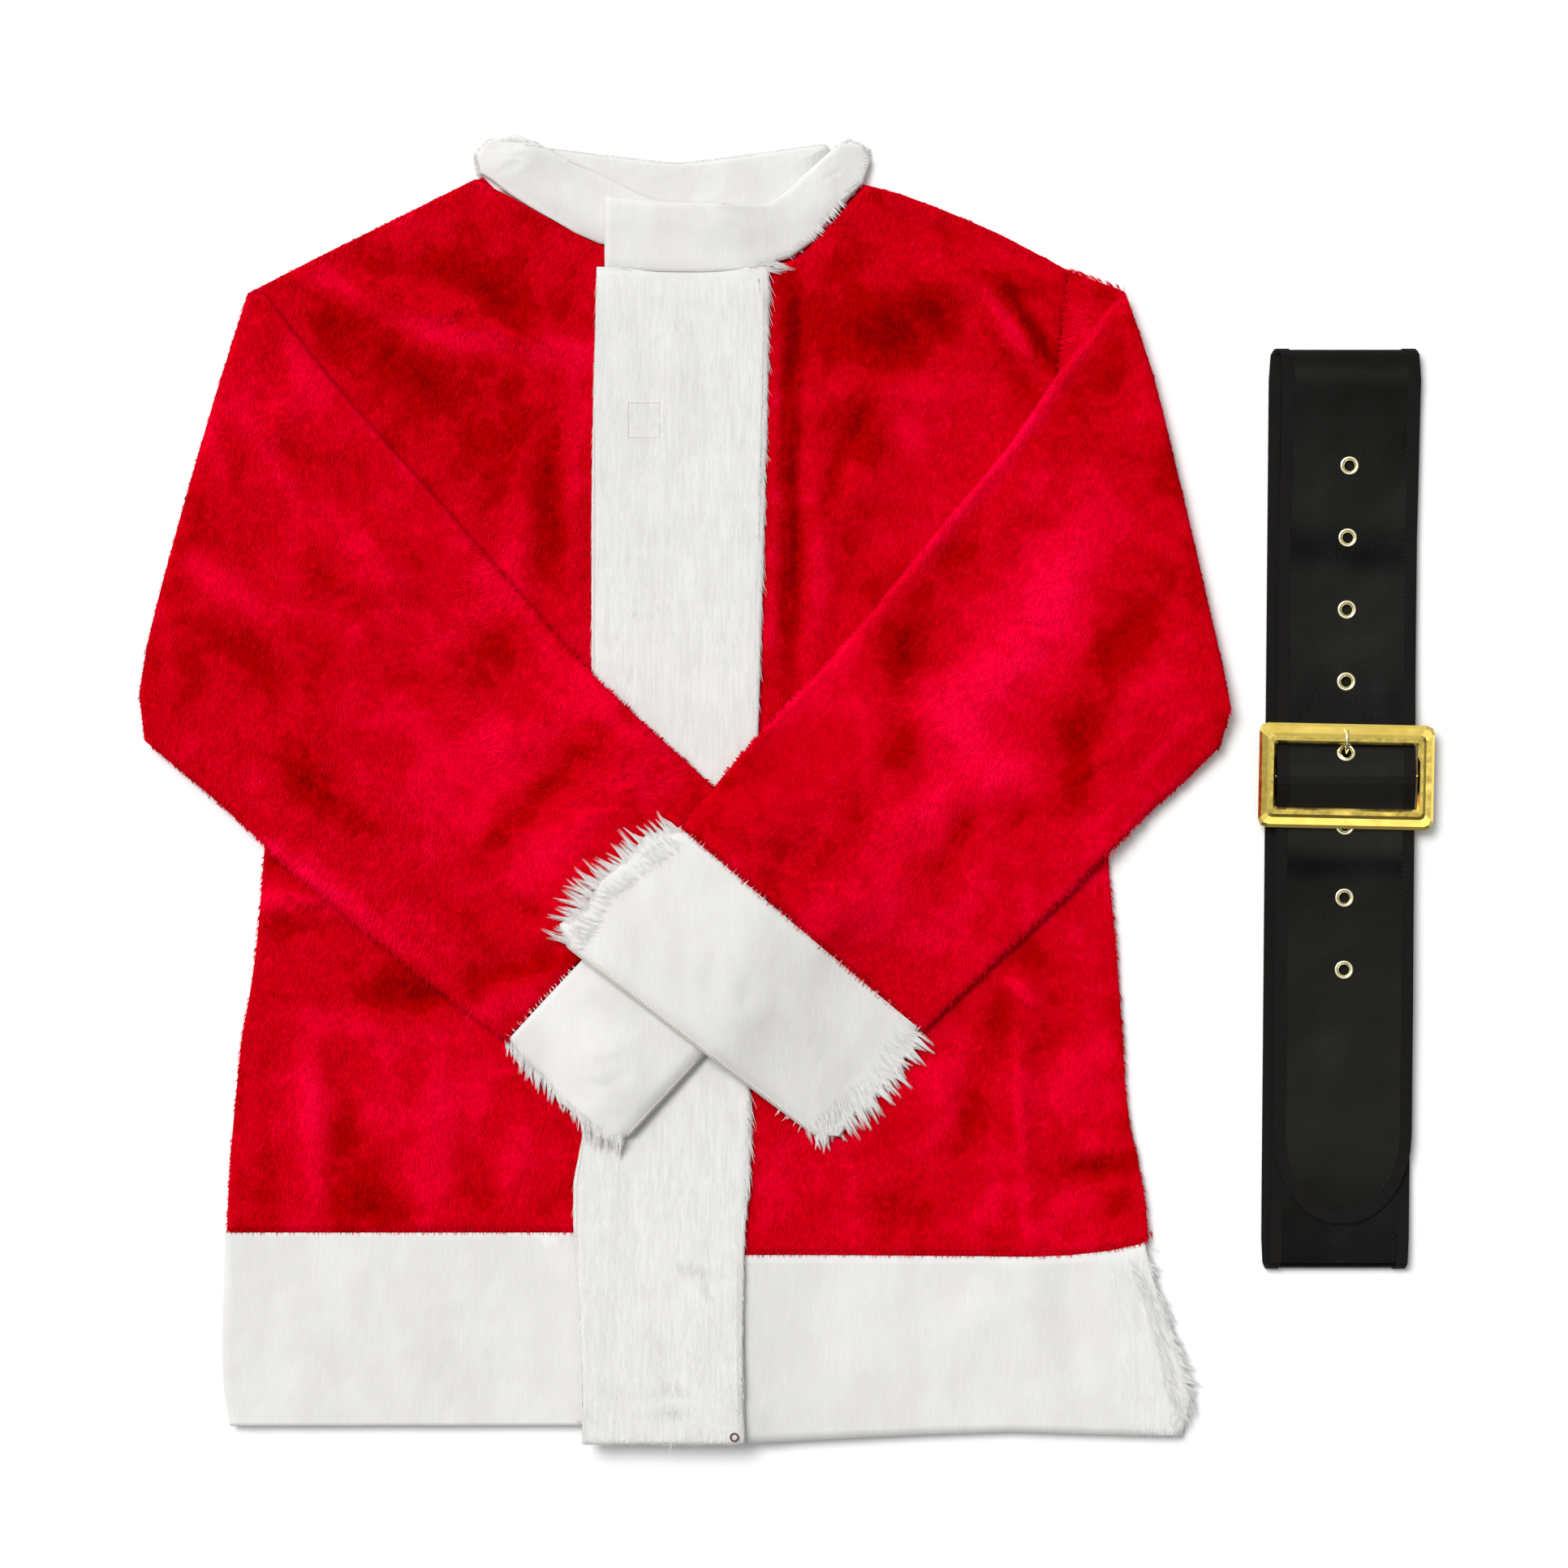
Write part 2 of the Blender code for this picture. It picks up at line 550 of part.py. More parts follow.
class Layer:
    """Lays pieces on one pile and makes their objects."""

    def __init__(self, pile, collection):
        self.pile = pile
        self.collection = collection

    def outline(self, name, points, thick, material):
        """A flat piece on the table, from its outline."""
        self.pile.add_outline(name, points, thick)
        return flat_outline(name, points, thick, material, self.collection)

    def panel(self, name, plan, thick, material, folds=(), beside=(), on_table=False):
        """One wall of cloth, laid on the pile or flat on the table."""
        base = np.zeros(plan.shape[:2]) if on_table else self.pile.lay(plan, folds, beside)
        self.pile.add(name, plan, base + thick)
        shape = panel(plan, base, thick, bulges(plan.shape[1] - 5))
        return make_object(name, shape, material, self.collection)

    def tube(self, name, plan, high, wall, material, folds=(), beside=(), closed_rows=0):
        """A flattened tube of cloth, laid on the pile."""
        base = self.pile.lay(plan, folds, beside)
        self.pile.add(name, plan, base + high)
        shape = tube(plan, base, high, wall, bulges(plan.shape[1] - 5), closed_rows)
        return make_object(name, shape, material, self.collection)


def jacket(plush, fur, wire, collection):
    """Every piece of the jacket, in the order in which it is laid."""
    pile = Pile()
    layer = Layer(pile, collection)
    layer.outline("body_back", body_back_outline(), PLUSH, plush)
    layer.outline("hem_back", HEM_BACK_EDGE, FUR, fur)
    for side, sections in (("left", LEFT_TURN), ("right", RIGHT_TURN)):
        plan = section_plan(sections, 9, 3, 4.0)
        layer.panel(f"sleeve_{side}_turn", plan, TURN_HEIGHT, plush, on_table=True)
    layer.panel("collar_back", section_plan(COLLAR_BACK, 13, 3, 3.0), FUR, fur, beside=["body_back"])

    plan = front_plan(LEFT_SIDE, LEFT_FRONT_EDGE, LEFT_TOP, LEFT_SEAM, 25, 13, 2.5)
    layer.panel("front_left", plan, PLUSH, plush, LEFT_FRONT_FOLDS, ["sleeve_left_turn"])
    top = [(x, y - SEAM_GAP) for x, y in LEFT_SEAM]
    plan = front_plan(LEFT_HEM_SIDE, LEFT_FRONT_EDGE, top, LEFT_HEM, 6, 13, 4.0)
    layer.panel("hem_front_left", plan, FUR, fur, HEM_LEFT_FOLDS, ["front_left"])
    plan = section_plan(COLLAR_LEFT, 13, 3, 4.0)
    layer.panel("collar_front_left", plan, FUR, fur, beside=["front_left"])

    plan = front_plan(RIGHT_SIDE, RIGHT_FRONT_EDGE, RIGHT_TOP, RIGHT_SEAM, 25, 14, 2.5)
    beside = ["sleeve_right_turn", "collar_front_left"]
    layer.panel("front_right", plan, PLUSH, plush, RIGHT_FRONT_FOLDS, beside)
    top = [(x, y - SEAM_GAP) for x, y in RIGHT_SEAM]
    plan = front_plan(RIGHT_HEM_SIDE, RIGHT_FRONT_EDGE, top, RIGHT_HEM, 6, 14, 4.0)
    layer.panel("hem_front_right", plan, FUR, fur, HEM_RIGHT_FOLDS, ["front_right"])
    plan = placket_plan(PLACKET_EDGES, 28, 5, 4.0)
    placket = layer.panel("placket", plan, FUR, fur, PLACKET_FOLDS, ["collar_front_left"])
    plan = section_plan(COLLAR_RIGHT, 13, 3, 4.0)
    layer.panel("collar_front_right", plan, FUR, fur, beside=["front_right", "placket"])

    plan = section_plan(LEFT_SLEEVE, 20, 9, 6.0)
    layer.tube("sleeve_left", plan, SLEEVE_HEIGHT, PLUSH, plush, LEFT_SLEEVE_FOLDS, closed_rows=2)
    plan = section_plan(LEFT_CUFF, 7, 9, 6.0, locks=(LOCK, 0))
    layer.tube("cuff_left", plan, CUFF_HEIGHT, FUR, fur, beside=["sleeve_left"])
    plan = section_plan(RIGHT_SLEEVE, 20, 9, 6.0)
    layer.tube("sleeve_right", plan, SLEEVE_HEIGHT, PLUSH, plush, RIGHT_SLEEVE_FOLDS, closed_rows=2)
    plan = section_plan(RIGHT_CUFF, 7, 9, 6.0, locks=(LOCK, LOCK))
    layer.tube("cuff_right", plan, CUFF_HEIGHT, FUR, fur, CUFF_FOLDS, ["sleeve_right"])
    closure_eye(placket, wire, collection)


def closure_eye(placket, wire, collection):
    """A small wire eye lying on the foot of the placket."""
    ring, radius, x, y = 2.3, 0.5, 37.5, 7.5
    heights = []
    for k in range(8):
        angle = math.pi * k / 4
        above = Vector((x + ring * math.cos(angle), y + ring * math.sin(angle), 100)) * MM
        heights.append(placket.ray_cast(above, Vector((0, 0, -1)))[1].z)
    bpy.ops.mesh.primitive_torus_add(
        major_radius=ring * MM, minor_radius=radius * MM, major_segments=16, minor_segments=6,
        location=(x * MM, y * MM, max(heights) + (GAP + radius) * MM))
    eye = bpy.context.object
    take(eye, "closure_eye", wire, collection)


def take(item, name, material, collection):
    """Names a primitive, gives it its material and moves it to the collection."""
    item.name = name
    item.data.name = name
    item.data.materials.append(material)
    for old in list(item.users_collection):
        old.objects.unlink(item)
    collection.objects.link(item)


# ---------------------------------------------------------------- the belt
def turn_back(y, low, high, step_sign):
    """Points of a round fold at y, between two heights; step_sign -1 turns at the foot."""
    middle, radius = (low + high) / 2, (high - low) / 2
    points = []
    for k in range(FOLD_STEPS + 1):
        angle = math.pi * k / FOLD_STEPS
        out, rise = step_sign * radius * math.sin(angle), step_sign * radius * math.cos(angle)
        points.append((y + out, middle + rise))
    return points


def strap_route():
    """Middle line of the strap as rows of x, y, z, from its sewn end to the start of its tip."""
    wrap_radius = BAR_RADIUS + GAP + STRAP_CORE / 2
    wrap = []
    for degrees in range(160, -91, -25):
        angle = math.radians(degrees)
        wrap.append((BUCKLE_Y + wrap_radius * math.cos(angle), BAR_Z + wrap_radius * math.sin(angle)))
    foot = turn_back(FOOT_Y, FLOOR_Z, FLOOR_Z + 2 * FOLD_RADIUS, -1)
    head = turn_back(HEAD_Y, FLOOR_Z, FLOOR_Z + 2 * FOLD_RADIUS, 1)
    lower = [(y, z, LOWER_CENTRE) for y, z in wrap + LOWER_RUN]
    foot = [(y, z, None) for y, z in reversed(foot)]
    floor = [(y, z, FLOOR_CENTRE) for y, z in FLOOR_RUN]
    head = [(y, z, None) for y, z in reversed(head)]
    upper = [(y, z, UPPER_CENTRE) for y, z in UPPER_RUN]
    return fill_centres(lower + foot + floor + head + upper), len(wrap)


def fill_centres(rows):
    """Gives each row its x: from its own table, or between its neighbours' on a fold."""
    xs = [along(table, y) if table else None for y, _, table in rows]
    known = [k for k, x in enumerate(xs) if x is not None]
    xs = np.interp(range(len(xs)), known, [xs[k] for k in known])
    return [(x, y, z) for x, (y, z, _) in zip(xs, rows)]


def route_frames(route):
    """For each point of the route: the point, and the strap's upward side there, in the y-z plane."""
    points = np.array(route)
    ahead = np.gradient(points[:, 1:], axis=0)
    ahead /= np.linalg.norm(ahead, axis=1)[:, None]
    side = np.column_stack([np.zeros(len(points)), ahead[:, 1], -ahead[:, 0]])
    return points, side


def tip_widths():
    """Rows of y and half width along the strap's round tip."""
    rows = []
    for k in range(1, TIP_STEPS + 1):
        angle = math.pi / 2 * k / TIP_STEPS
        rows.append((TIP_START - (TIP_START - TIP_Y) * math.sin(angle), math.cos(angle)))
    return rows


def strap_sections():
    """Sections of the strap: middle point, side direction and half width; and where its tip starts."""
    route, wrapped = strap_route()
    tip = len(route)
    half = STRAP_WIDTH / 2 - TAPE - GAP
    x, _, z = route[-1]
    halves = [half] * len(route)
    for y, share in tip_widths()[:-1]:
        route.append((along(UPPER_CENTRE, y), y, z))
        halves.append(half * share)
    route.append((x, TIP_Y + TAPE + GAP, z))
    halves.append(half * 0.12)
    points, side = route_frames(route)
    return points, side, halves, wrapped, tip


def belt_strap(leather, collection, cutters):
    """The strap, with its eyelet holes and the prong's slot cut through."""
    points, side, halves, _, _ = strap_sections()
    shape = Shape()
    rings = []
    for point, up, half in zip(points, side, halves):
        ring = []
        for x, z in ((-half, 1), (half, 1), (half, -1), (-half, -1)):
            corner = point + up * z * STRAP_CORE / 2 + np.array([x, 0, 0])
            ring.append(len(shape.points))
            shape.points.append(tuple(corner))
        rings.append(ring)
    for a, b in zip(rings, rings[1:]):
        for k in range(4):
            shape.face(a[k], a[(k + 1) % 4], b[(k + 1) % 4], b[k])
    shape.face(*rings[0][::-1])
    shape.face(*rings[-1])
    strap = make_object("belt_strap", shape, leather, collection)
    for number, (x, y, z, tilt) in enumerate(eyelet_places(), 1):
        cut_with_cylinder(strap, f"eyelet_hole_{number}", (x, y, z), tilt, 4.0, cutters)
    slot = cutter_box("prong_slot", (BUCKLE_X, BUCKLE_Y - 0.5, BAR_Z - 0.8), (6.4, 9.0, 9.0), cutters)
    add_cut(strap, slot)
    return strap


def eyelet_places():
    """Middle of each eyelet on the strap's upper run, with the strap's tilt there."""
    ys = [row[0] for row in UPPER_RUN]
    zs = [row[1] for row in UPPER_RUN]
    places = []
    for k in range(8):
        y = FIRST_EYELET - EYELET_PITCH * k
        below = float(np.interp(-(y - 3), [-v for v in ys], zs))
        above = float(np.interp(-(y + 3), [-v for v in ys], zs))
        places.append((along(UPPER_CENTRE, y), y, (above + below) / 2, math.atan2(above - below, 6)))
    return places


def cut_with_cylinder(item, name, centre, tilt, radius, cutters):
    """Cuts a round hole square to the strap, short enough to spare the runs below."""
    bpy.ops.mesh.primitive_cylinder_add(
        vertices=16, radius=radius * MM, depth=2.6 * MM,
        location=[c * MM for c in centre], rotation=(tilt, 0, 0))
    cutter = bpy.context.object
    hide_cutter(cutter, name, cutters)
    add_cut(item, cutter)


def cutter_box(name, centre, size, cutters):
    """A box that cuts."""
    bpy.ops.mesh.primitive_cube_add(size=1, location=[c * MM for c in centre])
    cutter = bpy.context.object
    cutter.scale = [s * MM for s in size]
    hide_cutter(cutter, name, cutters)
    return cutter


def hide_cutter(cutter, name, cutters):
    """Names a cutter and keeps it out of the model."""
    cutter.name = name
    cutter.hide_render = True
    cutter.display_type = "WIRE"
    for old in list(cutter.users_collection):
        old.objects.unlink(cutter)
    cutters.objects.link(cutter)


def add_cut(item, cutter, operation="DIFFERENCE"):
    """Adds an exact Boolean to an object."""
    cut = item.modifiers.new(cutter.name, "BOOLEAN")
    cut.operation = operation
    cut.solver = "EXACT"
    cut.object = cutter


def belt_binding(tape, collection):
    """Tape folded over both edges and round the tip: one channel swept along the strap's edge."""
    points, side, halves, wrapped, tip = strap_sections()
    first = wrapped + 2
    spine = []
    for k in range(first, len(points)):
        spine.append((points[k] - np.array([halves[k], 0, 0]), side[k], k >= tip))
    for k in range(len(points) - 1, first - 1, -1):
        spine.append((points[k] + np.array([halves[k], 0, 0]), side[k], k >= tip))
    inner, outer = STRAP_CORE / 2 + GAP, STRAP_CORE / 2 + GAP + TAPE
    section = [(-TAPE_WIDTH, outer), (GAP + TAPE, outer), (GAP + TAPE, -outer), (-TAPE_WIDTH, -outer),
               (-TAPE_WIDTH, -inner), (GAP, -inner), (GAP, inner), (-TAPE_WIDTH, inner)]
    shape = Shape()
    rings = []
    for k, (edge, up, at_tip) in enumerate(spine):
        outward = np.array([-1.0 if k < len(spine) / 2 else 1.0, 0, 0])
        if at_tip:
            outward = np.cross(spine[k + 1][0] - spine[k - 1][0], up)
            outward = outward / np.linalg.norm(outward)
        ring = []
        for out, height in section:
            ring.append(len(shape.points))
            shape.points.append(tuple(edge + outward * out + up * height))
        rings.append(ring)
    for a, b in zip(rings, rings[1:]):
        for k in range(8):
            shape.face(a[k], a[(k + 1) % 8], b[(k + 1) % 8], b[k])
    for ring in (rings[0][::-1], rings[-1]):
        a, b, c, d, e, f, g, h = ring
        for corners in ((a, b, g, h), (b, c, f, g), (c, d, e, f)):
            shape.face(*corners)
    return make_object("belt_binding", shape, tape, collection)


def belt_eyelets(metal, collection):
    """Eight turned eyelets, each a profile spun about its own axis."""
    core = STRAP_CORE / 2
    profile = [(3.3, core + GAP + 0.35), (4.6, core + GAP + 0.6), (5.8, core + GAP),
               (3.7, core + GAP), (3.7, -core - GAP), (4.9, -core - GAP), (4.9, -core - GAP - 0.35),
               (3.3, -core - GAP - 0.35)]
    mesh = spun_profile("belt_eyelet", profile, 12)
    for number, (x, y, z, tilt) in enumerate(eyelet_places(), 1):
        item = bpy.data.objects.new(f"belt_eyelet_{number}", mesh)
        item.location = (x * MM, y * MM, z * MM)
        item.rotation_euler = (tilt, 0, 0)
        collection.objects.link(item)
    mesh.materials.append(metal)


def spun_profile(name, profile, steps):
    """A ring made by spinning a closed profile of radius and height about the z axis."""
    shape = Shape()
    for k in range(steps):
        angle = 2 * math.pi * k / steps
        for radius, height in profile:
            shape.points.append((radius * math.cos(angle), radius * math.sin(angle), height))
    count = len(profile)
    for k in range(steps):
        for p in range(count):
            a, b = k * count + p, k * count + (p + 1) % count
            c, d = (b + count) % (steps * count), (a + count) % (steps * count)
            shape.face(a, b, c, d)
    mesh = bpy.data.meshes.new(name)
    mesh.from_pydata([[c * MM for c in point] for point in shape.points], [], shape.faces)
    body = bmesh.new()
    body.from_mesh(mesh)
    bmesh.ops.recalc_face_normals(body, faces=body.faces)
    body.to_mesh(mesh)
    body.free()
    mesh.shade_smooth()
    mesh.set_sharp_from_angle(angle=math.radians(40))
    return mesh


def rounded_corners(width, height, radius, steps=2):
    """Corner points of a rectangle with rounded corners, anticlockwise from the right top."""
    points = []
    for number, (sx, sy) in enumerate(((1, 1), (-1, 1), (-1, -1), (1, -1))):
        for k in range(steps + 1):
            angle = math.pi / 2 * (number + k / steps)
            points.append((sx * (width / 2 - radius) + radius * math.cos(angle),
                           sy * (height / 2 - radius) + radius * math.sin(angle)))
    return points


def buckle_frame(metal, collection):
    """The frame: a profile with a bevel, a groove and a raised inner lip, led round the window."""
    outer = rounded_corners(*BUCKLE_SIZE, 5.0)
    inner = rounded_corners(*WINDOW_SIZE, 1.2)
    # columns: share of the way from the outer edge to the window, height
    profile = [(0, 0), (0, 1.6), (0.16, 3.4), (0.5, 2.9), (0.66, 4.2), (0.86, 4.2), (1, 2.6), (1, 0)]
    shape = Shape()
    for (ox, oy), (ix, iy) in zip(outer, inner):
        for share, height in profile:
            shape.points.append((ox + (ix - ox) * share, oy + (iy - oy) * share, height))
    count, total = len(profile), len(outer) * len(profile)
    for k in range(len(outer)):
        for p in range(count):
            a, b = k * count + p, k * count + (p + 1) % count
            shape.face(a, b, (b + count) % total, (a + count) % total)
    frame = make_object("buckle_frame", shape, metal, collection)
    frame.location = (BUCKLE_X * MM, BUCKLE_Y * MM, BUCKLE_BASE * MM)
    frame.rotation_euler = (0, 0, BUCKLE_TURN)
    return frame


def buckle_bar(frame, cutters):
    """The centre bar, square to the strap and joined to the frame's two sides."""
    length = (BUCKLE_SIZE[0] + WINDOW_SIZE[0]) / 2
    bpy.ops.mesh.primitive_cylinder_add(
        vertices=12, radius=BAR_RADIUS * MM, depth=length * MM,
        location=(BUCKLE_X * MM, BUCKLE_Y * MM, BAR_Z * MM), rotation=(0, math.pi / 2, 0))
    bar = bpy.context.object
    hide_cutter(bar, "centre_bar", cutters)
    add_cut(frame, bar, "UNION")


def buckle_prong(metal, collection):
    """The prong: hooked round the centre bar, up through an eyelet and over the frame."""
    hook_radius = BAR_RADIUS + GAP + PRONG_RADIUS
    hook = []
    for degrees in range(35, 321, 35):
        angle = math.radians(degrees)
        hook.append((BUCKLE_Y + hook_radius * math.cos(angle), BAR_Z + hook_radius * math.sin(angle)))
    curve = bpy.data.curves.new("buckle_prong", "CURVE")
    curve.dimensions = "3D"
    curve.bevel_depth = PRONG_RADIUS * MM
    curve.bevel_resolution = 2
    curve.use_fill_caps = True
    spline = curve.splines.new("POLY")
    route = hook + PRONG_RUN
    spline.points.add(len(route) - 1)
    for knot, (y, z) in zip(spline.points, route):
        knot.co = (BUCKLE_X * MM, y * MM, z * MM, 1)
    return place("buckle_prong", curve, metal, collection)


# ---------------------------------------------------------------- everything
def centre_on_origin(collection, cutters):
    """Moves the whole part so that its box stands on the origin, centred."""
    depsgraph = bpy.context.evaluated_depsgraph_get()
    low, high = Vector((9, 9, 9)), Vector((-9, -9, -9))
    for item in collection.objects:
        shown = item.evaluated_get(depsgraph)
        mesh = shown.to_mesh()
        for vertex in mesh.vertices:
            corner = shown.matrix_world @ vertex.co
            low = Vector(map(min, low, corner))
            high = Vector(map(max, high, corner))
        shown.to_mesh_clear()
    shift = Vector((-(low.x + high.x) / 2, -(low.y + high.y) / 2, -low.z))
    for item in list(collection.objects) + list(cutters.objects):
        item.location += shift


def main():
    for item in list(bpy.data.objects):
        bpy.data.objects.remove(item, do_unlink=True)
    collection = bpy.data.collections.new("santa_jacket_and_belt")
    cutters = bpy.data.collections.new("cutters")
    for group in (collection, cutters):
        bpy.context.scene.collection.children.link(group)
    plush = make_material("red_plush", (0.55, 0.0, 0.015), 0.9)
    fur = make_material("white_fur", (0.9, 0.89, 0.87), 0.95)
    wire = make_material("dark_wire", (0.25, 0.12, 0.08), 0.4, 1.0)
    leather = make_material("black_coated_strap", (0.015, 0.015, 0.016), 0.45)
    tape = make_material("black_tape", (0.02, 0.018, 0.016), 0.7)
    gold = make_material("polished_brass", (0.75, 0.55, 0.15), 0.2, 1.0)
    pale_gold = make_material("pale_brass", (0.8, 0.7, 0.4), 0.3, 1.0)
    jacket(plush, fur, wire, collection)
    belt_strap(leather, collection, cutters)
    belt_binding(tape, collection)
    belt_eyelets(pale_gold, collection)
    frame = buckle_frame(gold, collection)
    buckle_bar(frame, cutters)
    buckle_prong(gold, collection)
    bpy.context.view_layer.update()
    centre_on_origin(collection, cutters)


main()
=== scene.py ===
"""Looks of the laid-out santa jacket and its belt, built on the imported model.

Tables are in millimetres: x from the middle of the jacket, y up from the hem, z up from the table.
"""

import math
from collections import namedtuple

import bmesh
import bpy
import numpy as np
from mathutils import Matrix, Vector, noise
from mathutils.bvhtree import BVHTree


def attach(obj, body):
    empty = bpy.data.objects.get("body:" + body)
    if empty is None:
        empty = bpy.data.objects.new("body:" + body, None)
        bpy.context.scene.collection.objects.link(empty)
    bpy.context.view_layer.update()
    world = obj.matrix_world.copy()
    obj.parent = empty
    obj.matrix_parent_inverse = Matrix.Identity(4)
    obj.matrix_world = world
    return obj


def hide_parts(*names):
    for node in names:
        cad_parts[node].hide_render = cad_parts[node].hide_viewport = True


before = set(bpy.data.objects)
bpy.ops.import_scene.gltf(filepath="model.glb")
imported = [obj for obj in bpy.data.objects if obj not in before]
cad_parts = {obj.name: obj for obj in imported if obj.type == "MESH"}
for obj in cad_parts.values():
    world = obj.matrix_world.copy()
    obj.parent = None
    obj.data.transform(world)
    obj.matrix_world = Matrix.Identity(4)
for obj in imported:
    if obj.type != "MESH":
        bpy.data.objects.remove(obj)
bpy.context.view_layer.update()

ORIGIN = np.array([69.86, 405.8, 0.0])     # where the row frame's origin lies in the tables
RNG = np.random.default_rng(25)
UP = Vector((0, 0, 1))
DOWN = Vector((0, 0, -1))
HIGH = 120.0                               # a height above everything, in the tables' millimetres


def square_of_stitches(left, low, right, high, height):
    """Crease rows for the four sides of a square that is sewn down."""
    corners = [(left, low), (right, low), (right, high), (left, high), (left, low)]
    return [(*start, *end, 2, height) for start, end in zip(corners, corners[1:])]


# ---------------------------------------------------------------- tables
# cut of each sheet, from the lowest layer up; columns: width and length in metres, flat area in square
# metres, how it lies, what it rests on
CUTS = {
    "body_back": ((0.566, 0.651), 0.318, "laid", ["table"]),
    "hem_back": ((0.595, 0.123), 0.071, "laid", ["table"]),
    "sleeve_left_turn": ((0.078, 0.262), 0.0135, "folded", ["table"]),
    "sleeve_right_turn": ((0.096, 0.280), 0.0190, "folded", ["table"]),
    "collar_back": ((0.040, 0.215), 0.0086, "laid", ["table"]),
    "front_left": ((0.318, 0.652), 0.181, "laid", ["body_back"]),
    "hem_front_left": ((0.320, 0.121), 0.0383, "laid", ["hem_back"]),
    "collar_front_left": ((0.040, 0.165), 0.0064, "laid", ["front_left"]),
    "front_right": ((0.355, 0.662), 0.203, "laid", ["body_back", "front_left"]),
    "hem_front_right": ((0.385, 0.126), 0.0445, "laid", ["hem_back", "hem_front_left"]),
    "placket": ((0.110, 0.726), 0.0745, "laid", ["front_right"]),
    "collar_front_right": ((0.041, 0.172), 0.0066, "laid", ["front_right"]),
    "sleeve_left": ((0.440, 0.620), 0.160, "laid", ["front_left", "placket"]),
    "cuff_left": ((0.420, 0.105), 0.0430, "laid", ["placket", "front_right"]),
    "sleeve_right": ((0.440, 0.600), 0.145, "laid", ["front_right", "sleeve_left"]),
    "cuff_right": ((0.430, 0.105), 0.0450, "laid", ["front_left", "placket"]),
}
WHITE = ("hem", "collar", "cuff", "placket")      # starts of the white pieces' names
MOSTLY_HIDDEN = ("body_back", "hem_back")         # only their edges show, so they aren't refined or creased

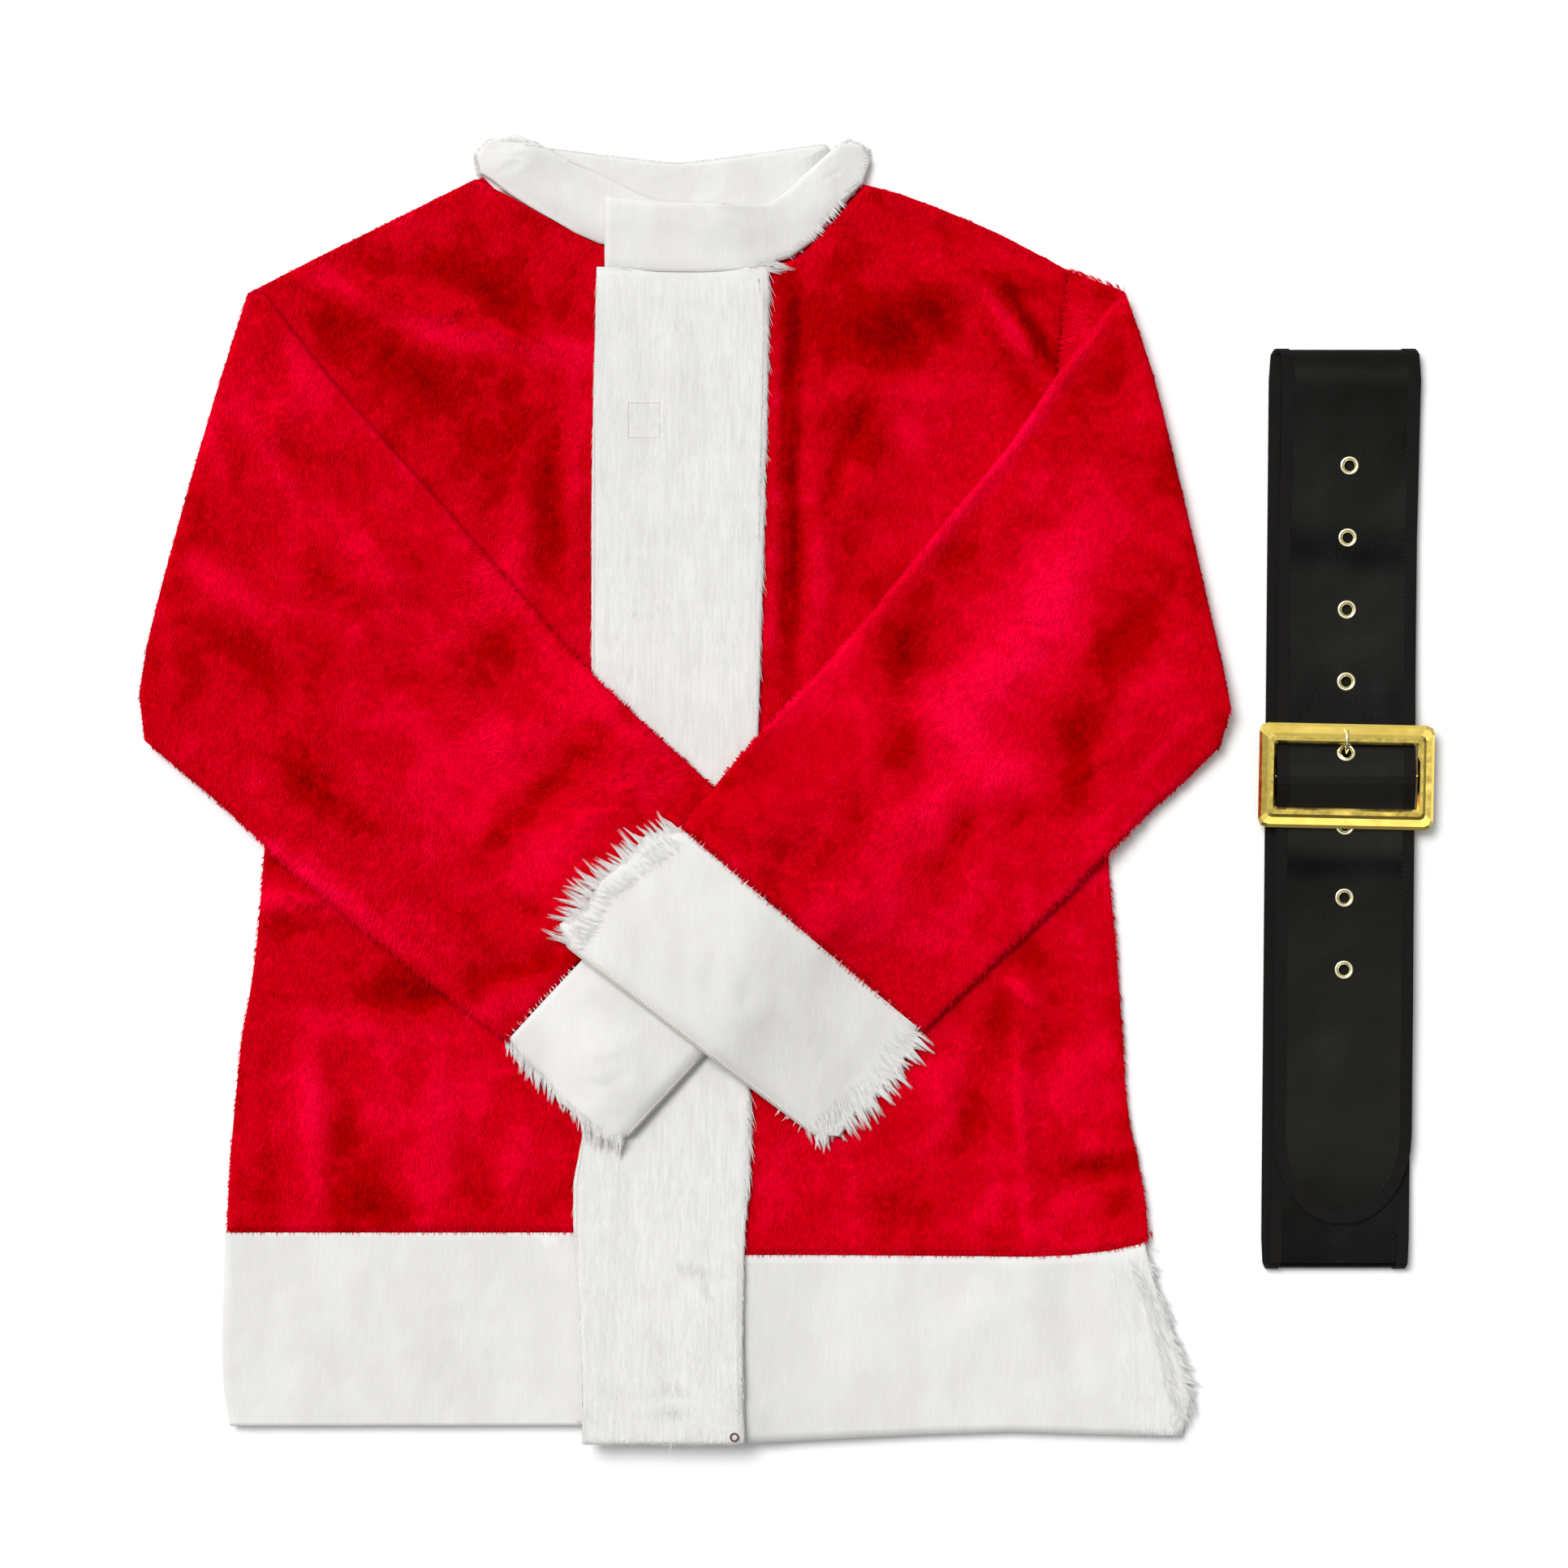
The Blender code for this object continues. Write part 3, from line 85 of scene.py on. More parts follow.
# creases laid on each piece; columns: from x, y, to x, y, half width, height (negative is a trough)
CREASES = {
    "front_left": [
        (-203, 716, -60, 678, 9, 2.2), (-181, 734, -112, 706, 9, -1.5), (-214, 698, -204, 668, 7, -1.2),
        (-75, 625, -80, 505, 7, -2.0), (-92, 600, -99, 520, 9, 1.6), (-62, 640, -60, 520, 7, 1.2),
        (-252, 338, -200, 333, 7, 2.2), (-252, 322, -205, 318, 7, -1.4), (-252, 356, -215, 353, 7, -1.2),
        (-224, 232, -221, 148, 9, 1.6), (-206, 240, -200, 160, 9, -1.4), (-186, 272, -140, 280, 10, -1.4),
        (-198, 262, -160, 256, 9, 1.2), (-150, 240, -154, 150, 10, 1.3), (-120, 200, -118, 148, 10, -1.1),
        (-96, 200, -95, 150, 10, 1.0), (-160, 640, -110, 560, 12, 1.1),
    ],
    "front_right": [
        (75, 712, 71, 470, 6, -2.4), (62, 690, 60, 480, 5, 1.6), (92, 600, 86, 470, 8, 1.5),
        (112, 640, 93, 575, 7, -1.6), (126, 640, 108, 570, 9, 1.3), (102, 658, 180, 640, 10, 1.2),
        (202, 711, 232, 662, 4.5, -3.0), (190, 706, 222, 660, 6, 2.4), (122, 768, 186, 745, 4, -1.4),
        (186, 745, 236, 727, 4, -1.4), (112, 752, 148, 736, 7, -1.2), (140, 722, 196, 716, 8, 1.2),
        (206, 288, 224, 272, 5, 2.4), (212, 268, 214, 160, 4, 1.8), (214, 160, 219, 124, 4, 1.6),
        (200, 280, 205, 240, 6, -1.5), (228, 260, 230, 200, 8, -1.2), (190, 236, 180, 190, 9, -1.3),
        (246, 174, 272, 170, 7, -1.8), (250, 188, 278, 184, 8, 1.3), (166, 240, 160, 180, 12, 1.4),
        (138, 160, 134, 134, 12, -1.0), (240, 240, 262, 226, 9, 1.2),
    ],
    "sleeve_left": [
        (-226, 660, -256, 610, 9, 1.6), (-244, 684, -250, 640, 8, -1.4), (-268, 612, -228, 612, 9, -1.4),
        (-288, 545, -258, 508, 11, 1.5), (-278, 500, -244, 474, 10, -1.4), (-216, 545, -205, 510, 10, -1.4),
        (-185, 560, -170, 520, 12, 1.5), (-182, 500, -160, 460, 10, -1.3), (-150, 470, -110, 425, 12, 1.5),
        (-234, 425, -196, 384, 10, -1.5), (-176, 415, -140, 392, 12, 1.4), (-36, 444, -104, 378, 10, -1.9),
        (-60, 462, -124, 418, 12, 1.5), (-20, 424, -74, 364, 9, 1.4), (-128, 288, -62, 310, 6, -1.8),
        (-112, 272, -58, 300, 6, 1.4), (-102, 338, -78, 324, 6, -1.2), (-256, 376, -188, 326, 7, 1.0),
    ],
    "sleeve_right": [
        (268, 704, 106, 492, 8, 1.7), (106, 492, 30, 418, 8, 1.4), (250, 660, 160, 540, 9, -1.3),
        (254, 572, 232, 516, 14, 1.8), (232, 516, 176, 452, 15, 2.0), (205, 420, 160, 392, 12, 1.5),
        (150, 500, 138, 430, 12, -1.8), (170, 556, 186, 520, 10, -1.2), (300, 524, 266, 486, 12, -1.7),
        (256, 452, 242, 400, 11, -1.6), (184, 396, 168, 352, 9, -1.8), (214, 398, 206, 372, 8, -1.4),
        (156, 404, 134, 372, 9, 1.3), (120, 440, 96, 400, 11, 1.0), (96, 392, 60, 340, 10, -1.2),
        (70, 330, 100, 300, 8, -1.0), (40, 392, 60, 360, 8, 1.0),
    ],
    "placket": [
        *square_of_stitches(-28, 622, -9, 643.5, -0.4), *square_of_stitches(-30, 514, -11, 535, -0.3),
        (-18, 690, -14, 600, 9, -1.2),
        (14, 700, 20, 610, 9, -1.0), (-2, 690, 0, 610, 8, 0.8),
        (-30, 180, -22, 90, 8, -1.0), (10, 140, 18, 60, 9, 0.9), (-6, 70, 0, 20, 8, -0.9),
    ],
    "hem_front_left": [(-200, 112, -150, 40, 12, 0.9), (-240, 60, -200, 36, 12, -0.8)],
    "hem_front_right": [
        (80, 100, 100, 50, 12, -0.9), (160, 60, 210, 90, 14, 0.9), (236, 112, 250, 20, 12, -1.2),
        (262, 112, 286, 30, 12, 1.6),
    ],
    "cuff_right": [(-20, 330, 20, 290, 12, 0.9), (70, 280, 90, 250, 9, 1.2), (30, 300, 55, 270, 10, -0.9)],
    "cuff_left": [(-60, 240, -20, 210, 12, 0.8)],
    "collar_front_right": [(80, 755, 112, 790, 10, 0.9), (10, 750, 60, 748, 9, 0.6)],
    "collar_front_left": [(-110, 798, -90, 785, 9, 0.6), (-80, 775, -40, 755, 9, 0.6)],
}

CREASE_DEPTH = 1.55                        # multiplies the table's heights

# cuts made in each edge of a solid's upper faces, more where the solid's faces are long
USUAL_CUTS = 3
EDGE_CUTS = {"hem_front_left": 9}
LEAST_UP = 0.25                            # upright share of an upper face's normal, at least
EVENING_ROUNDS = 4

# the cloth's small unevenness; columns: height, size, seed
RIPPLES = [(0.45, 38, 1.7), (0.25, 15, 5.2)]

# how the comb table's rows fade into each other, for directions and lengths, and for the last two
# columns: millimetres, power
WAY_FADE = (30, 1.5)
SHOWN_FADE = (14, 3)
OPEN_SKY = 2.0                             # strands grow where no cloth lies higher than this above them
LEAST_FACING = -0.2                        # and on faces whose normal is more upright than this

# strips reshaped beside a piece's edge; columns: from x, y, to x, y with the outside on the left, then
# the strip's depth, how far it moves out and up, and the share of its thickness kept at the edge
SHAPED = {
    "cuff_right": [
        (-72, 303.5, 9, 389, 40, -3.0, 0, 0.7), (163, 264, 82, 180, 45, -8.8, 0, 0.6),
        (104, 178, -80, 320, 8, 0, 0, 0.5),
    ],
    "cuff_left": [(-44, 184, -110, 255, 34, -7.5, 0, 0.6), (70, 296, -40, 177.5, 8, 0, -0.4, 0.5)],
    "collar_front_right": [(64, 728.8, -54, 728.8, 20, 4.2, 4.4, 0.6)],
    "collar_front_left": [(-36, 738, -124, 793, 7, 1.2, 0, 0.7)],
    "placket": [(-56, 727.3, 68, 727.3, 9, -0.5, 0, 0.6)],
    "hem_front_right": [(289, 140, 327, 10, 24, -6.5, 0, 0.6)],
    "hem_back": [(289, 140, 320, 10, 24, -8, 0, 1)],
}

# patches where the nap is brushed lighter or darker, with painted highlights on ridges and folded edges
# and painted shade in troughs; columns: x, y, half length, half width, degrees, amount
NAP_AND_PAINTED_SHADING = {
    "front_left": [
        (-203, 714, 30, 7, -25, 0.7), (-155, 690, 36, 8, -22, 0.8), (-105, 679, 40, 8, -8, 0.9),
        (-66, 676, 20, 9, 0, 0.6), (-179, 733, 28, 11, -20, -0.6), (-131, 727, 36, 13, -18, -0.7),
        (-108, 705, 26, 11, -50, -0.8), (-213, 690, 28, 12, -60, -0.8), (-165, 665, 34, 12, -40, -0.6),
        (-76, 590, 60, 8, 92, -1.0), (-84, 655, 34, 10, 90, 0.5), (-98, 567, 40, 10, 80, 0.5),
        (-62, 600, 60, 6, 90, 0.5), (-120, 610, 40, 18, -50, -0.4), (-243, 337, 34, 6, -3, 0.8),
        (-240, 358, 30, 8, 0, -0.8), (-236, 320, 34, 8, -5, -0.7), (-168, 281, 36, 12, 5, -1.0),
        (-190, 258, 34, 8, -5, 0.6), (-224, 200, 46, 9, 92, 0.9), (-222, 156, 22, 12, 90, 0.6),
        (-212, 238, 16, 10, 90, -0.6), (-203, 196, 34, 10, 88, -0.9), (-189, 158, 16, 12, 0, -0.7),
        (-160, 229, 24, 10, 90, -0.6), (-148, 205, 40, 10, 86, 0.6), (-155, 160, 20, 12, 90, 0.6),
        (-121, 160, 26, 12, 90, -0.8), (-104, 198, 24, 10, 90, -0.5), (-96, 170, 26, 10, 90, 0.5),
        (-253, 156, 18, 10, 90, -0.6), (-176, 145, 24, 8, 0, -0.7), (-262, 220, 60, 5, 92, 0.4),
        (-96, 640, 60, 14, 88, -0.3), (-60, 700, 26, 10, -30, -0.5), (-150, 660, 90, 50, 0, -0.25),
        (-180, 190, 90, 40, 0, 0.3),
    ],
    "front_right": [
        (75, 690, 36, 5, 90, -1.0), (72, 600, 90, 5, 91, -1.2), (70, 500, 50, 7, 88, -0.9),
        (62, 640, 80, 5, 91, 0.5), (61, 520, 60, 5, 90, 0.4), (88, 551, 60, 8, 92, 0.7),
        (126, 692, 40, 24, -10, -0.7), (158, 704, 28, 12, 10, -0.8), (106, 653, 32, 8, 10, 0.6),
        (142, 609, 40, 12, 70, 0.5), (150, 652, 30, 10, 30, 0.5), (103, 610, 44, 6, 68, -0.9),
        (120, 735, 34, 9, 20, -0.4), (104, 712, 20, 8, 60, 0.4), (152, 738, 30, 8, -14, 0.5),
        (200, 700, 22, 5, -58, 0.8), (212, 684, 30, 6, -58, 0.9), (222, 688, 26, 5, -58, -1.2),
        (205, 716, 22, 8, -20, -0.8), (190, 660, 22, 14, -60, 0.4), (170, 690, 18, 9, -40, -0.5),
        (215, 280, 16, 5, -40, 0.9), (213, 205, 56, 3.5, 91, 0.7), (217, 142, 22, 4, 94, 0.6),
        (206, 268, 16, 9, 80, -0.9), (224, 302, 26, 12, -60, -0.6), (228, 240, 40, 7, 90, -0.4),
        (190, 230, 24, 10, 80, -0.6), (181, 196, 24, 10, 75, -0.7), (236, 222, 20, 9, 50, 0.5),
        (259, 238, 26, 10, 80, 0.5), (259, 172, 18, 6, 8, -1.0), (262, 186, 20, 6, 8, 0.6),
        (164, 205, 28, 12, 80, 0.6), (138, 146, 26, 10, 0, -0.6), (190, 146, 24, 10, 70, 0.5),
        (250, 152, 22, 8, 10, 0.5), (272, 150, 14, 7, 60, -0.6), (80, 150, 24, 14, 80, -0.4),
        (110, 215, 20, 12, 60, -0.3), (270, 280, 40, 5, 96, -0.3), (140, 650, 90, 60, 0, -0.4),
        (120, 160, 90, 40, 0, 0.25),
    ],
    "sleeve_left": [
        (-225, 655, 26, 8, -55, 0.8), (-251, 617, 26, 8, -55, 0.6), (-246, 679, 26, 9, -70, -0.7),
        (-232, 611, 18, 12, -40, -0.7), (-267, 604, 22, 10, 60, -0.6), (-174, 617, 50, 7, -48, 0.7),
        (-262, 700, 16, 6, -60, 0.5), (-284, 538, 20, 12, -50, 0.8), (-262, 518, 18, 10, -40, 0.6),
        (-271, 497, 22, 10, -20, -0.7), (-250, 477, 24, 12, -30, -0.6), (-215, 538, 20, 13, -60, -0.8),
        (-180, 538, 22, 14, -50, 0.6), (-172, 483, 24, 11, -50, -0.6), (-200, 505, 22, 10, -40, 0.4),
        (-156, 442, 34, 14, -50, 0.7), (-118, 440, 30, 16, -45, 0.6), (-231, 413, 20, 13, -40, -0.9),
        (-199, 388, 22, 11, -30, -0.8), (-152, 402, 26, 12, -35, 0.6), (-72, 412, 52, 10, 44, -1.1),
        (-109, 372, 24, 12, 40, -0.9), (-23, 416, 26, 9, 48, 0.5), (-60, 380, 34, 9, 45, 0.5),
        (-103, 480, 22, 10, -60, -0.5), (-100, 520, 44, 7, -46, 0.6), (-50, 462, 34, 7, -44, 0.6),
        (-95, 294, 34, 5, 12, -1.0), (-84, 278, 32, 6, 20, 0.7), (-90, 331, 18, 5, -30, -0.7),
        (-224, 352, 60, 6, -36, 0.8), (-164, 306, 50, 6, -38, 0.6), (-298, 470, 30, 8, 70, -0.4),
        (-130, 350, 30, 12, -30, 0.3), (-300, 440, 20, 8, -40, 0.3), (-90, 380, 70, 60, 0, 0.35),
        (-290, 640, 80, 5, 106, 0.5), (-318, 520, 60, 5, 102, 0.5),
    ],
    "sleeve_right": [
        (262, 694, 26, 6, 52, 0.9), (236, 656, 36, 7, 53, 1.0), (205, 615, 40, 7, 52, 1.0),
        (160, 558, 44, 7, 51, 1.0), (110, 498, 40, 7, 48, 0.8), (62, 450, 34, 7, 45, 0.7),
        (268, 667, 16, 10, 80, -0.7), (224, 616, 22, 10, 50, -0.6), (306, 598, 14, 26, 0, -0.4),
        (254, 566, 26, 18, 70, 0.8), (237, 525, 34, 20, 60, 1.0), (188, 475, 36, 20, 45, 1.1),
        (180, 448, 26, 18, 60, 0.9), (155, 396, 22, 11, 60, 0.7), (205, 417, 24, 13, 30, 0.7),
        (171, 553, 22, 13, 50, -0.8), (143, 488, 30, 12, 75, -1.0), (143, 434, 20, 11, 70, -0.7),
        (271, 492, 26, 14, 50, -0.8), (296, 517, 22, 12, 60, -0.6), (251, 442, 26, 13, 60, -0.9),
        (246, 406, 22, 11, 60, -0.7), (180, 384, 16, 9, 60, -0.9), (213, 388, 14, 8, 60, -0.7),
        (168, 359, 20, 10, 50, -0.7), (300, 430, 40, 5, 50, 0.3), (110, 420, 26, 12, 50, 0.5),
        (96, 366, 30, 9, 45, -0.6), (60, 380, 24, 10, 50, 0.3), (130, 330, 20, 10, 45, 0.4),
        (90, 300, 22, 8, 40, -0.5), (240, 590, 18, 9, 50, 0.4), (322, 520, 50, 5, 100, -0.4),
        (210, 480, 120, 60, 50, 0.4), (120, 310, 70, 40, 45, 0.25),
    ],
    "sleeve_right_turn": [(250, 692, 26, 10, 70, 0.8), (262, 712, 12, 6, 0, -0.6)],
}

# which way the pile lies on the pieces that show strands; columns: x, y, degrees anticlockwise from +x,
# length, how freely it stands over the piece's edge and how much of it shows as strands, both 0 to 1
COMB = {
    "front_left": [(-160, 600, -95, 3.2, 1, 1), (-160, 200, -88, 3.2, 1, 1), (-250, 400, -110, 3.6, 1, 1)],
    "front_right": [(150, 600, -85, 3.2, 1, 1), (150, 200, -92, 3.2, 1, 1), (260, 300, -70, 3.6, 1, 1)],
    "sleeve_left": [
        (-280, 650, -95, 3.2, 1, 1), (-230, 500, -75, 3.2, 1, 1), (-60, 350, -50, 3.2, 1, 1),
        (-200, 330, -120, 4.0, 1, 1), (-60, 470, 60, 3.6, 1, 1),
    ],
    "sleeve_right": [
        (285, 650, -85, 3.2, 1, 1), (230, 500, -110, 3.2, 1, 1), (90, 340, -140, 3.2, 1, 1),
        (230, 350, -60, 4.0, 1, 1), (60, 450, 130, 3.6, 1, 1),
    ],
    "sleeve_left_turn": [(-290, 600, -100, 3.4, 1, 1)],
    "sleeve_right_turn": [(250, 700, 160, 5.5, 1, 1), (300, 600, -80, 3.4, 1, 1)],
    "body_back": [(0, 600, -90, 3.2, 1, 1)],
    "placket": [
        (-45, 600, -90, 13, 0, 0.6), (0, 700, -88, 18, 0, 0.9), (-40, 400, -92, 15, 0, 0.8),
        (50, 690, -76, 17, 0.1, 1), (52, 600, -82, 16, 0.1, 1), (50, 450, -85, 14, 0.1, 1),
        (-20, 60, -92, 16, 0, 0.8), (44, 250, -74, 18, 0.3, 1), (44, 80, -83, 17, 0, 0.8),
        (0, 250, -95, 18, 0, 1), (-55, 150, -94, 13, 0, 0.6),
    ],
    "hem_front_right": [
        (80, 70, -92, 8, 0, 0), (180, 70, -86, 8, 0, 0), (254, 104, -80, 9, 0, 0), (254, 66, -80, 9, 0, 0),
        (254, 30, -80, 9, 0, 0),
        (282, 112, -70, 14, 0, 0.7), (284, 66, -70, 15, 0, 0.7), (298, 96, -58, 17, 0.6, 1),
        (312, 66, -58, 19, 0.7, 1), (318, 38, -66, 18, 0.3, 1), (290, 28, -78, 12, 0, 0.8),
        (266, 18, -84, 9, 0, 0),
        (286, 8, -70, 8, 0, 0.1), (306, 9, -30, 8, 0, 0.4),
    ],
    "hem_back": [(-270, 60, -140, 9, 0, 0), (310, 60, -40, 15, 1, 1), (0, 20, -90, 8, 0, 0)],
}
NO_STRANDS = [(0, 0, 0, 0, 0, 0)]

# strands that stand out from an edge in locks, or as a fine fringe over a seam; columns: from x, y,
# to x, y, degrees at each end, reach, number of locks, strands in each
TUFTS = {
    "cuff_right": [
        (4, 379, -13, 371, 132, 142, 16, 11, 18), (-13, 371, -43.5, 345, 142, 150, 19, 23, 18),
        (-43.5, 345, -55, 331, 150, 156, 19, 10, 18), (-55, 331, -63, 311, 158, 172, 18, 11, 16),
        (3, 379, -43, 345, 136, 148, 9, 50, 12), (-43, 345, -63, 309, 150, 165, 9, 34, 12),
        (8, 372, -36, 339, 136, 148, 13, 36, 7), (-36, 339, -55, 306, 150, 165, 13, 26, 7),
        (147, 256, 131.7, 232, -30, -52, 17, 15, 18), (131.7, 232, 123, 222, -52, -54, 19, 8, 18),
        (123, 222, 98.7, 203, -55, -66, 19, 19, 18), (98.7, 203, 89, 193, -68, -84, 16, 9, 16),
        (146, 254, 123, 220, -40, -54, 9, 36, 12), (123, 220, 87, 191, -55, -80, 9, 44, 12),
        (140, 259, 117, 227, -40, -54, 13, 28, 7), (117, 227, 82, 198, -55, -80, 13, 34, 7),
        (80, 197, 64, 209, -112, -124, 5, 5, 4), (2, 382, 153, 253, 52, 48, 4.2, 66, 6),
    ],
    "cuff_left": [
        (-102, 250, -90.6, 237.3, -92, -96, 10, 13, 15), (-90.6, 237.3, -54, 204.2, -94, -98, 12, 32, 16),
        (-103, 250, -54, 204, -96, -98, 5.5, 80, 8), (-54, 204, -32, 194, -96, -88, 17, 30, 16),
        (-104, 250, -60, 296, 130, 134, 3, 26, 4),
    ],
    "collar_back": [(-92, 802, 2, 791.5, 96, 88, 1.8, 110, 4), (2, 791.5, 92, 803, 88, 84, 1.8, 110, 4)],
    "collar_front_left": [
        (-119, 784, -122, 796, 210, 170, 3.4, 22, 8),
        (-122, 796, -113, 805.5, 160, 120, 3.4, 22, 8), (-113, 805.5, -84, 803.5, 110, 76, 2.6, 44, 6),
    ],
    "collar_front_right": [
        (113, 784, 89, 753.5, -32, -44, 6.5, 44, 10), (89, 753.5, 67, 736, -44, -34, 7, 32, 10),
        (60, 730, 52, 727, -14, -8, 16, 7, 13), (119, 801, 114, 785, 10, -30, 4, 20, 8),
        (99, 800, 108, 806.5, 120, 80, 2.6, 16, 6), (108, 806.5, 119, 800, 70, 20, 2.6, 18, 6),
    ],
    "hem_front_right": [
        (288, 121, 294, 97, -42, -50, 14, 22, 12), (294, 97, 305, 66, -48, -40, 16, 30, 12),
        (305, 66, 313, 36, -36, -26, 15, 30, 12), (314, 36, 306, 16, -30, -74, 8, 20, 10),
        (282, 115, 300, 60, -50, -56, 16, 36, 7), (300, 60, 306, 28, -56, -66, 16, 24, 7),
    ],
    "placket": [
        (55, 716, 54, 650, -66, -74, 3.2, 44, 5), (54, 650, 52, 560, -74, -80, 3, 44, 5),
        (45, 214, 44, 186, -68, -70, 6, 12, 6), (44, 180, 41, 30, -80, -84, 2.4, 50, 3),
    ],
    "front_left": [(-276, 135.0, -62, 135.0, -92, -90, 5.0, 200, 4)],
    "front_right": [
        (44, 121.6, 235, 120.4, -90, -90, 5.0, 180, 4), (235, 120.4, 285, 125.8, -86, -82, 5.0, 48, 4),
        (285, 125.8, 295, 132, -80, -70, 5.0, 11, 4),
    ],
    "sleeve_left": [(-106, 253.6, -60, 302.7, -44, -44, 4.0, 60, 4)],
    "sleeve_right": [(5.2, 384.9, 155.7, 256.9, -130, -130, 5.2, 180, 4)],
}

# cream machine edges; columns: piece, x and y of points along the edge, the stitches' length
EDGES = [
    ("cuff_right", [(-62, 308.8), (-16.7, 273.7), (42.8, 227.7), (88, 192.7)], 4.2),
    ("cuff_left", [(-28.1, 192.9), (14, 238.2)], 2.8),
    ("collar_front_left", [(-66, 793), (-44, 784), (-18, 771), (20, 766.5), (40, 765.5)], 1.8),
    ("placket", [(-49, 722), (-49, 592), (-49, 440), (-49.5, 300), (-52, 215), (-60, 160), (-59, 90),
                 (-55, 8)], 1.6),
    ("placket", [(-28, 622), (-9, 622), (-9, 643.5), (-28, 643.5), (-28, 622)], 0.9),
]

# sewing threads, in millimetres: from stitch to stitch, width, half height, lift above the cloth
Thread = namedtuple("Thread", "pitch width high lift")
OVERLOCK = Thread(1.5, 0.8, 0.3, 0.45)
LOCKSTITCH = Thread(3.6, 0.55, 0.22, 0.05)
LOCKSTITCH_LENGTH = 2.9

# painted highlights and shade of the strap's gentle waves, along its length; columns: y, share of the
# highlight colour below
STRAP_WAVE_HIGHLIGHTS = [
    (100, 0.25), (118, 0.05), (150, 0.35), (205, 1.0), (300, 0.85), (364, 0.55), (378, 0.05), (392, 1.1),
    (440, 0.9), (470, 0.3), (520, 0.9), (550, 0.8), (566, 0.1), (590, 0.8), (640, 0.45), (668, 0.4),
    (678, 1.0), (684, 0.5),
]
STRAP_HIGHLIGHT = (0.0110, 0.0105, 0.0090)

# columns: radius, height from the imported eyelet's top
EYELET_PROFILE = [
    (5.85, -0.75), (5.8, -0.35), (5.45, -0.08), (4.9, 0.05), (4.3, -0.1), (3.85, -0.5), (3.65, -1.1),
    (3.6, -1.9), (3.3, -1.9), (3.35, -1.0),
]
EYELET_STEPS = 40
PRONG_GROWTH = 0.22
STRAP_MIDDLE = [(419, 674), (416, 560), (415, 470), (414, 380)]    # of the upper run, x and y
STRAP_HALF = 42.7
STITCH_INSET = 7.4                         # of the belt's stitches from the strap's edge
TIP_X, TIP_START, TIP_REACH = 412, 192, 54.5
FOOT_X, FOOT_STITCHES = 408.5, (131, 113)

PLUSH_SHEEN = (1.0, 0.0, 0.08)
# reds from painted shade in troughs to painted highlight on ridges, along the nap's grey; the darkest red
# is also the painted shade at the plush strands' roots
PAINTED_SHADE_RED = (0.22, 0.0, 0.0)
SHADED_TO_LIT_REDS = [
    (0.0, PAINTED_SHADE_RED), (0.27, (0.41, 0.0, 0.001)), (0.5, (0.61, 0.0, 0.007)), (0.74, (0.78, 0.0, 0.020)),
    (1.0, (0.95, 0.001, 0.045)),
]
FUR_SHADE = (0.60, 0.59, 0.57)

# where the sky is bright: toward BRIGHT_SIDE, and in bands overhead that the gold reflects; columns:
# place, grey level
BRIGHT_SIDE = (-0.42, 0.46, 0.78)
SKY_LEVELS = [(0.0, 0.22), (0.45, 0.7), (0.97, 1.6)]
OVERHEAD_LEVELS = [(0.02, 0.5), (0.07, 2.1), (0.2, 1.7), (0.34, 1.0)]
HORIZON_LEVEL = 1.9
SKY_STRENGTH = 0.57
SUN_PLACE = Vector((-0.8, 0.85, 1.9))
SUN_DEGREES = 28
SUN_STRENGTH = 2.42

PHOTO_WIDTH = 0.966                        # metres across the photo, at the height of its scale
SCALE_HEIGHT = 0.012
PHOTO_CENTRE = (68.0, 408.5)               # in the tables
CAMERA_HEIGHT = 3.2
SENSOR = 36
TABLE_SIZE, TABLE_TOP = 12, -0.0004


# ---------------------------------------------------------------- node trees
def material(name):
    """A new node material."""
    made = bpy.data.materials.new(name)
    made.use_nodes = True
    return made


def set_inputs(changed, **values):
    """Sets a node's inputs by name, with _ for each space."""
    for key, value in values.items():
        changed.inputs[key.replace("_", " ")].default_value = value


def node(made, kind, **values):
    """A new node with its inputs set."""
    new = made.node_tree.nodes.new(kind)
    set_inputs(new, **values)
    return new


def join(made, source, target):
    made.node_tree.links.new(source, target)


def feed(made, socket, value):
    """Gives an input a constant, or joins another node's output to it."""
    if isinstance(value, bpy.types.NodeSocket):
        join(made, value, socket)
    else:
        socket.default_value = value


def coat(made, colour, **values):
    """Joins a colour to a material's shader, and sets the shader's other inputs."""
    shader = made.node_tree.nodes["Principled BSDF"]
    join(made, colour, shader.inputs["Base Color"])
    set_inputs(shader, **values)


def place_on_object(made, stretch=(1, 1, 1), turn=0.0):
    """Object coordinates, stretched."""
    coordinates = node(made, "ShaderNodeTexCoord")
    mapping = node(made, "ShaderNodeMapping", Scale=stretch, Rotation=(0, 0, turn))
    join(made, coordinates.outputs["Object"], mapping.inputs["Vector"])
    return mapping.outputs["Vector"]


def channels(made, name):
    """The channels of a colour attribute."""
    stored = node(made, "ShaderNodeAttribute")
    stored.attribute_name = name
    parts = node(made, "ShaderNodeSeparateColor")
    join(made, stored.outputs["Color"], parts.inputs["Color"])
    return parts.outputs


def speckle(made, scale, detail, roughness=0.5, distortion=0.0, **placing):
    """Noise from 0 to 1 on the object's coordinates."""
    cloud = node(made, "ShaderNodeTexNoise", Scale=scale, Detail=detail, Roughness=roughness,
                 Distortion=distortion)
    join(made, place_on_object(made, **placing), cloud.inputs["Vector"])
    return cloud.outputs["Fac"]


def remap(made, value, low, high, to_low, to_high):
    """A value taken from one range to another, smoothly."""
    ranged = node(made, "ShaderNodeMapRange", From_Min=low, From_Max=high, To_Min=to_low, To_Max=to_high)
    ranged.interpolation_type = "SMOOTHSTEP"
    join(made, value, ranged.inputs["Value"])
    return ranged.outputs["Result"]


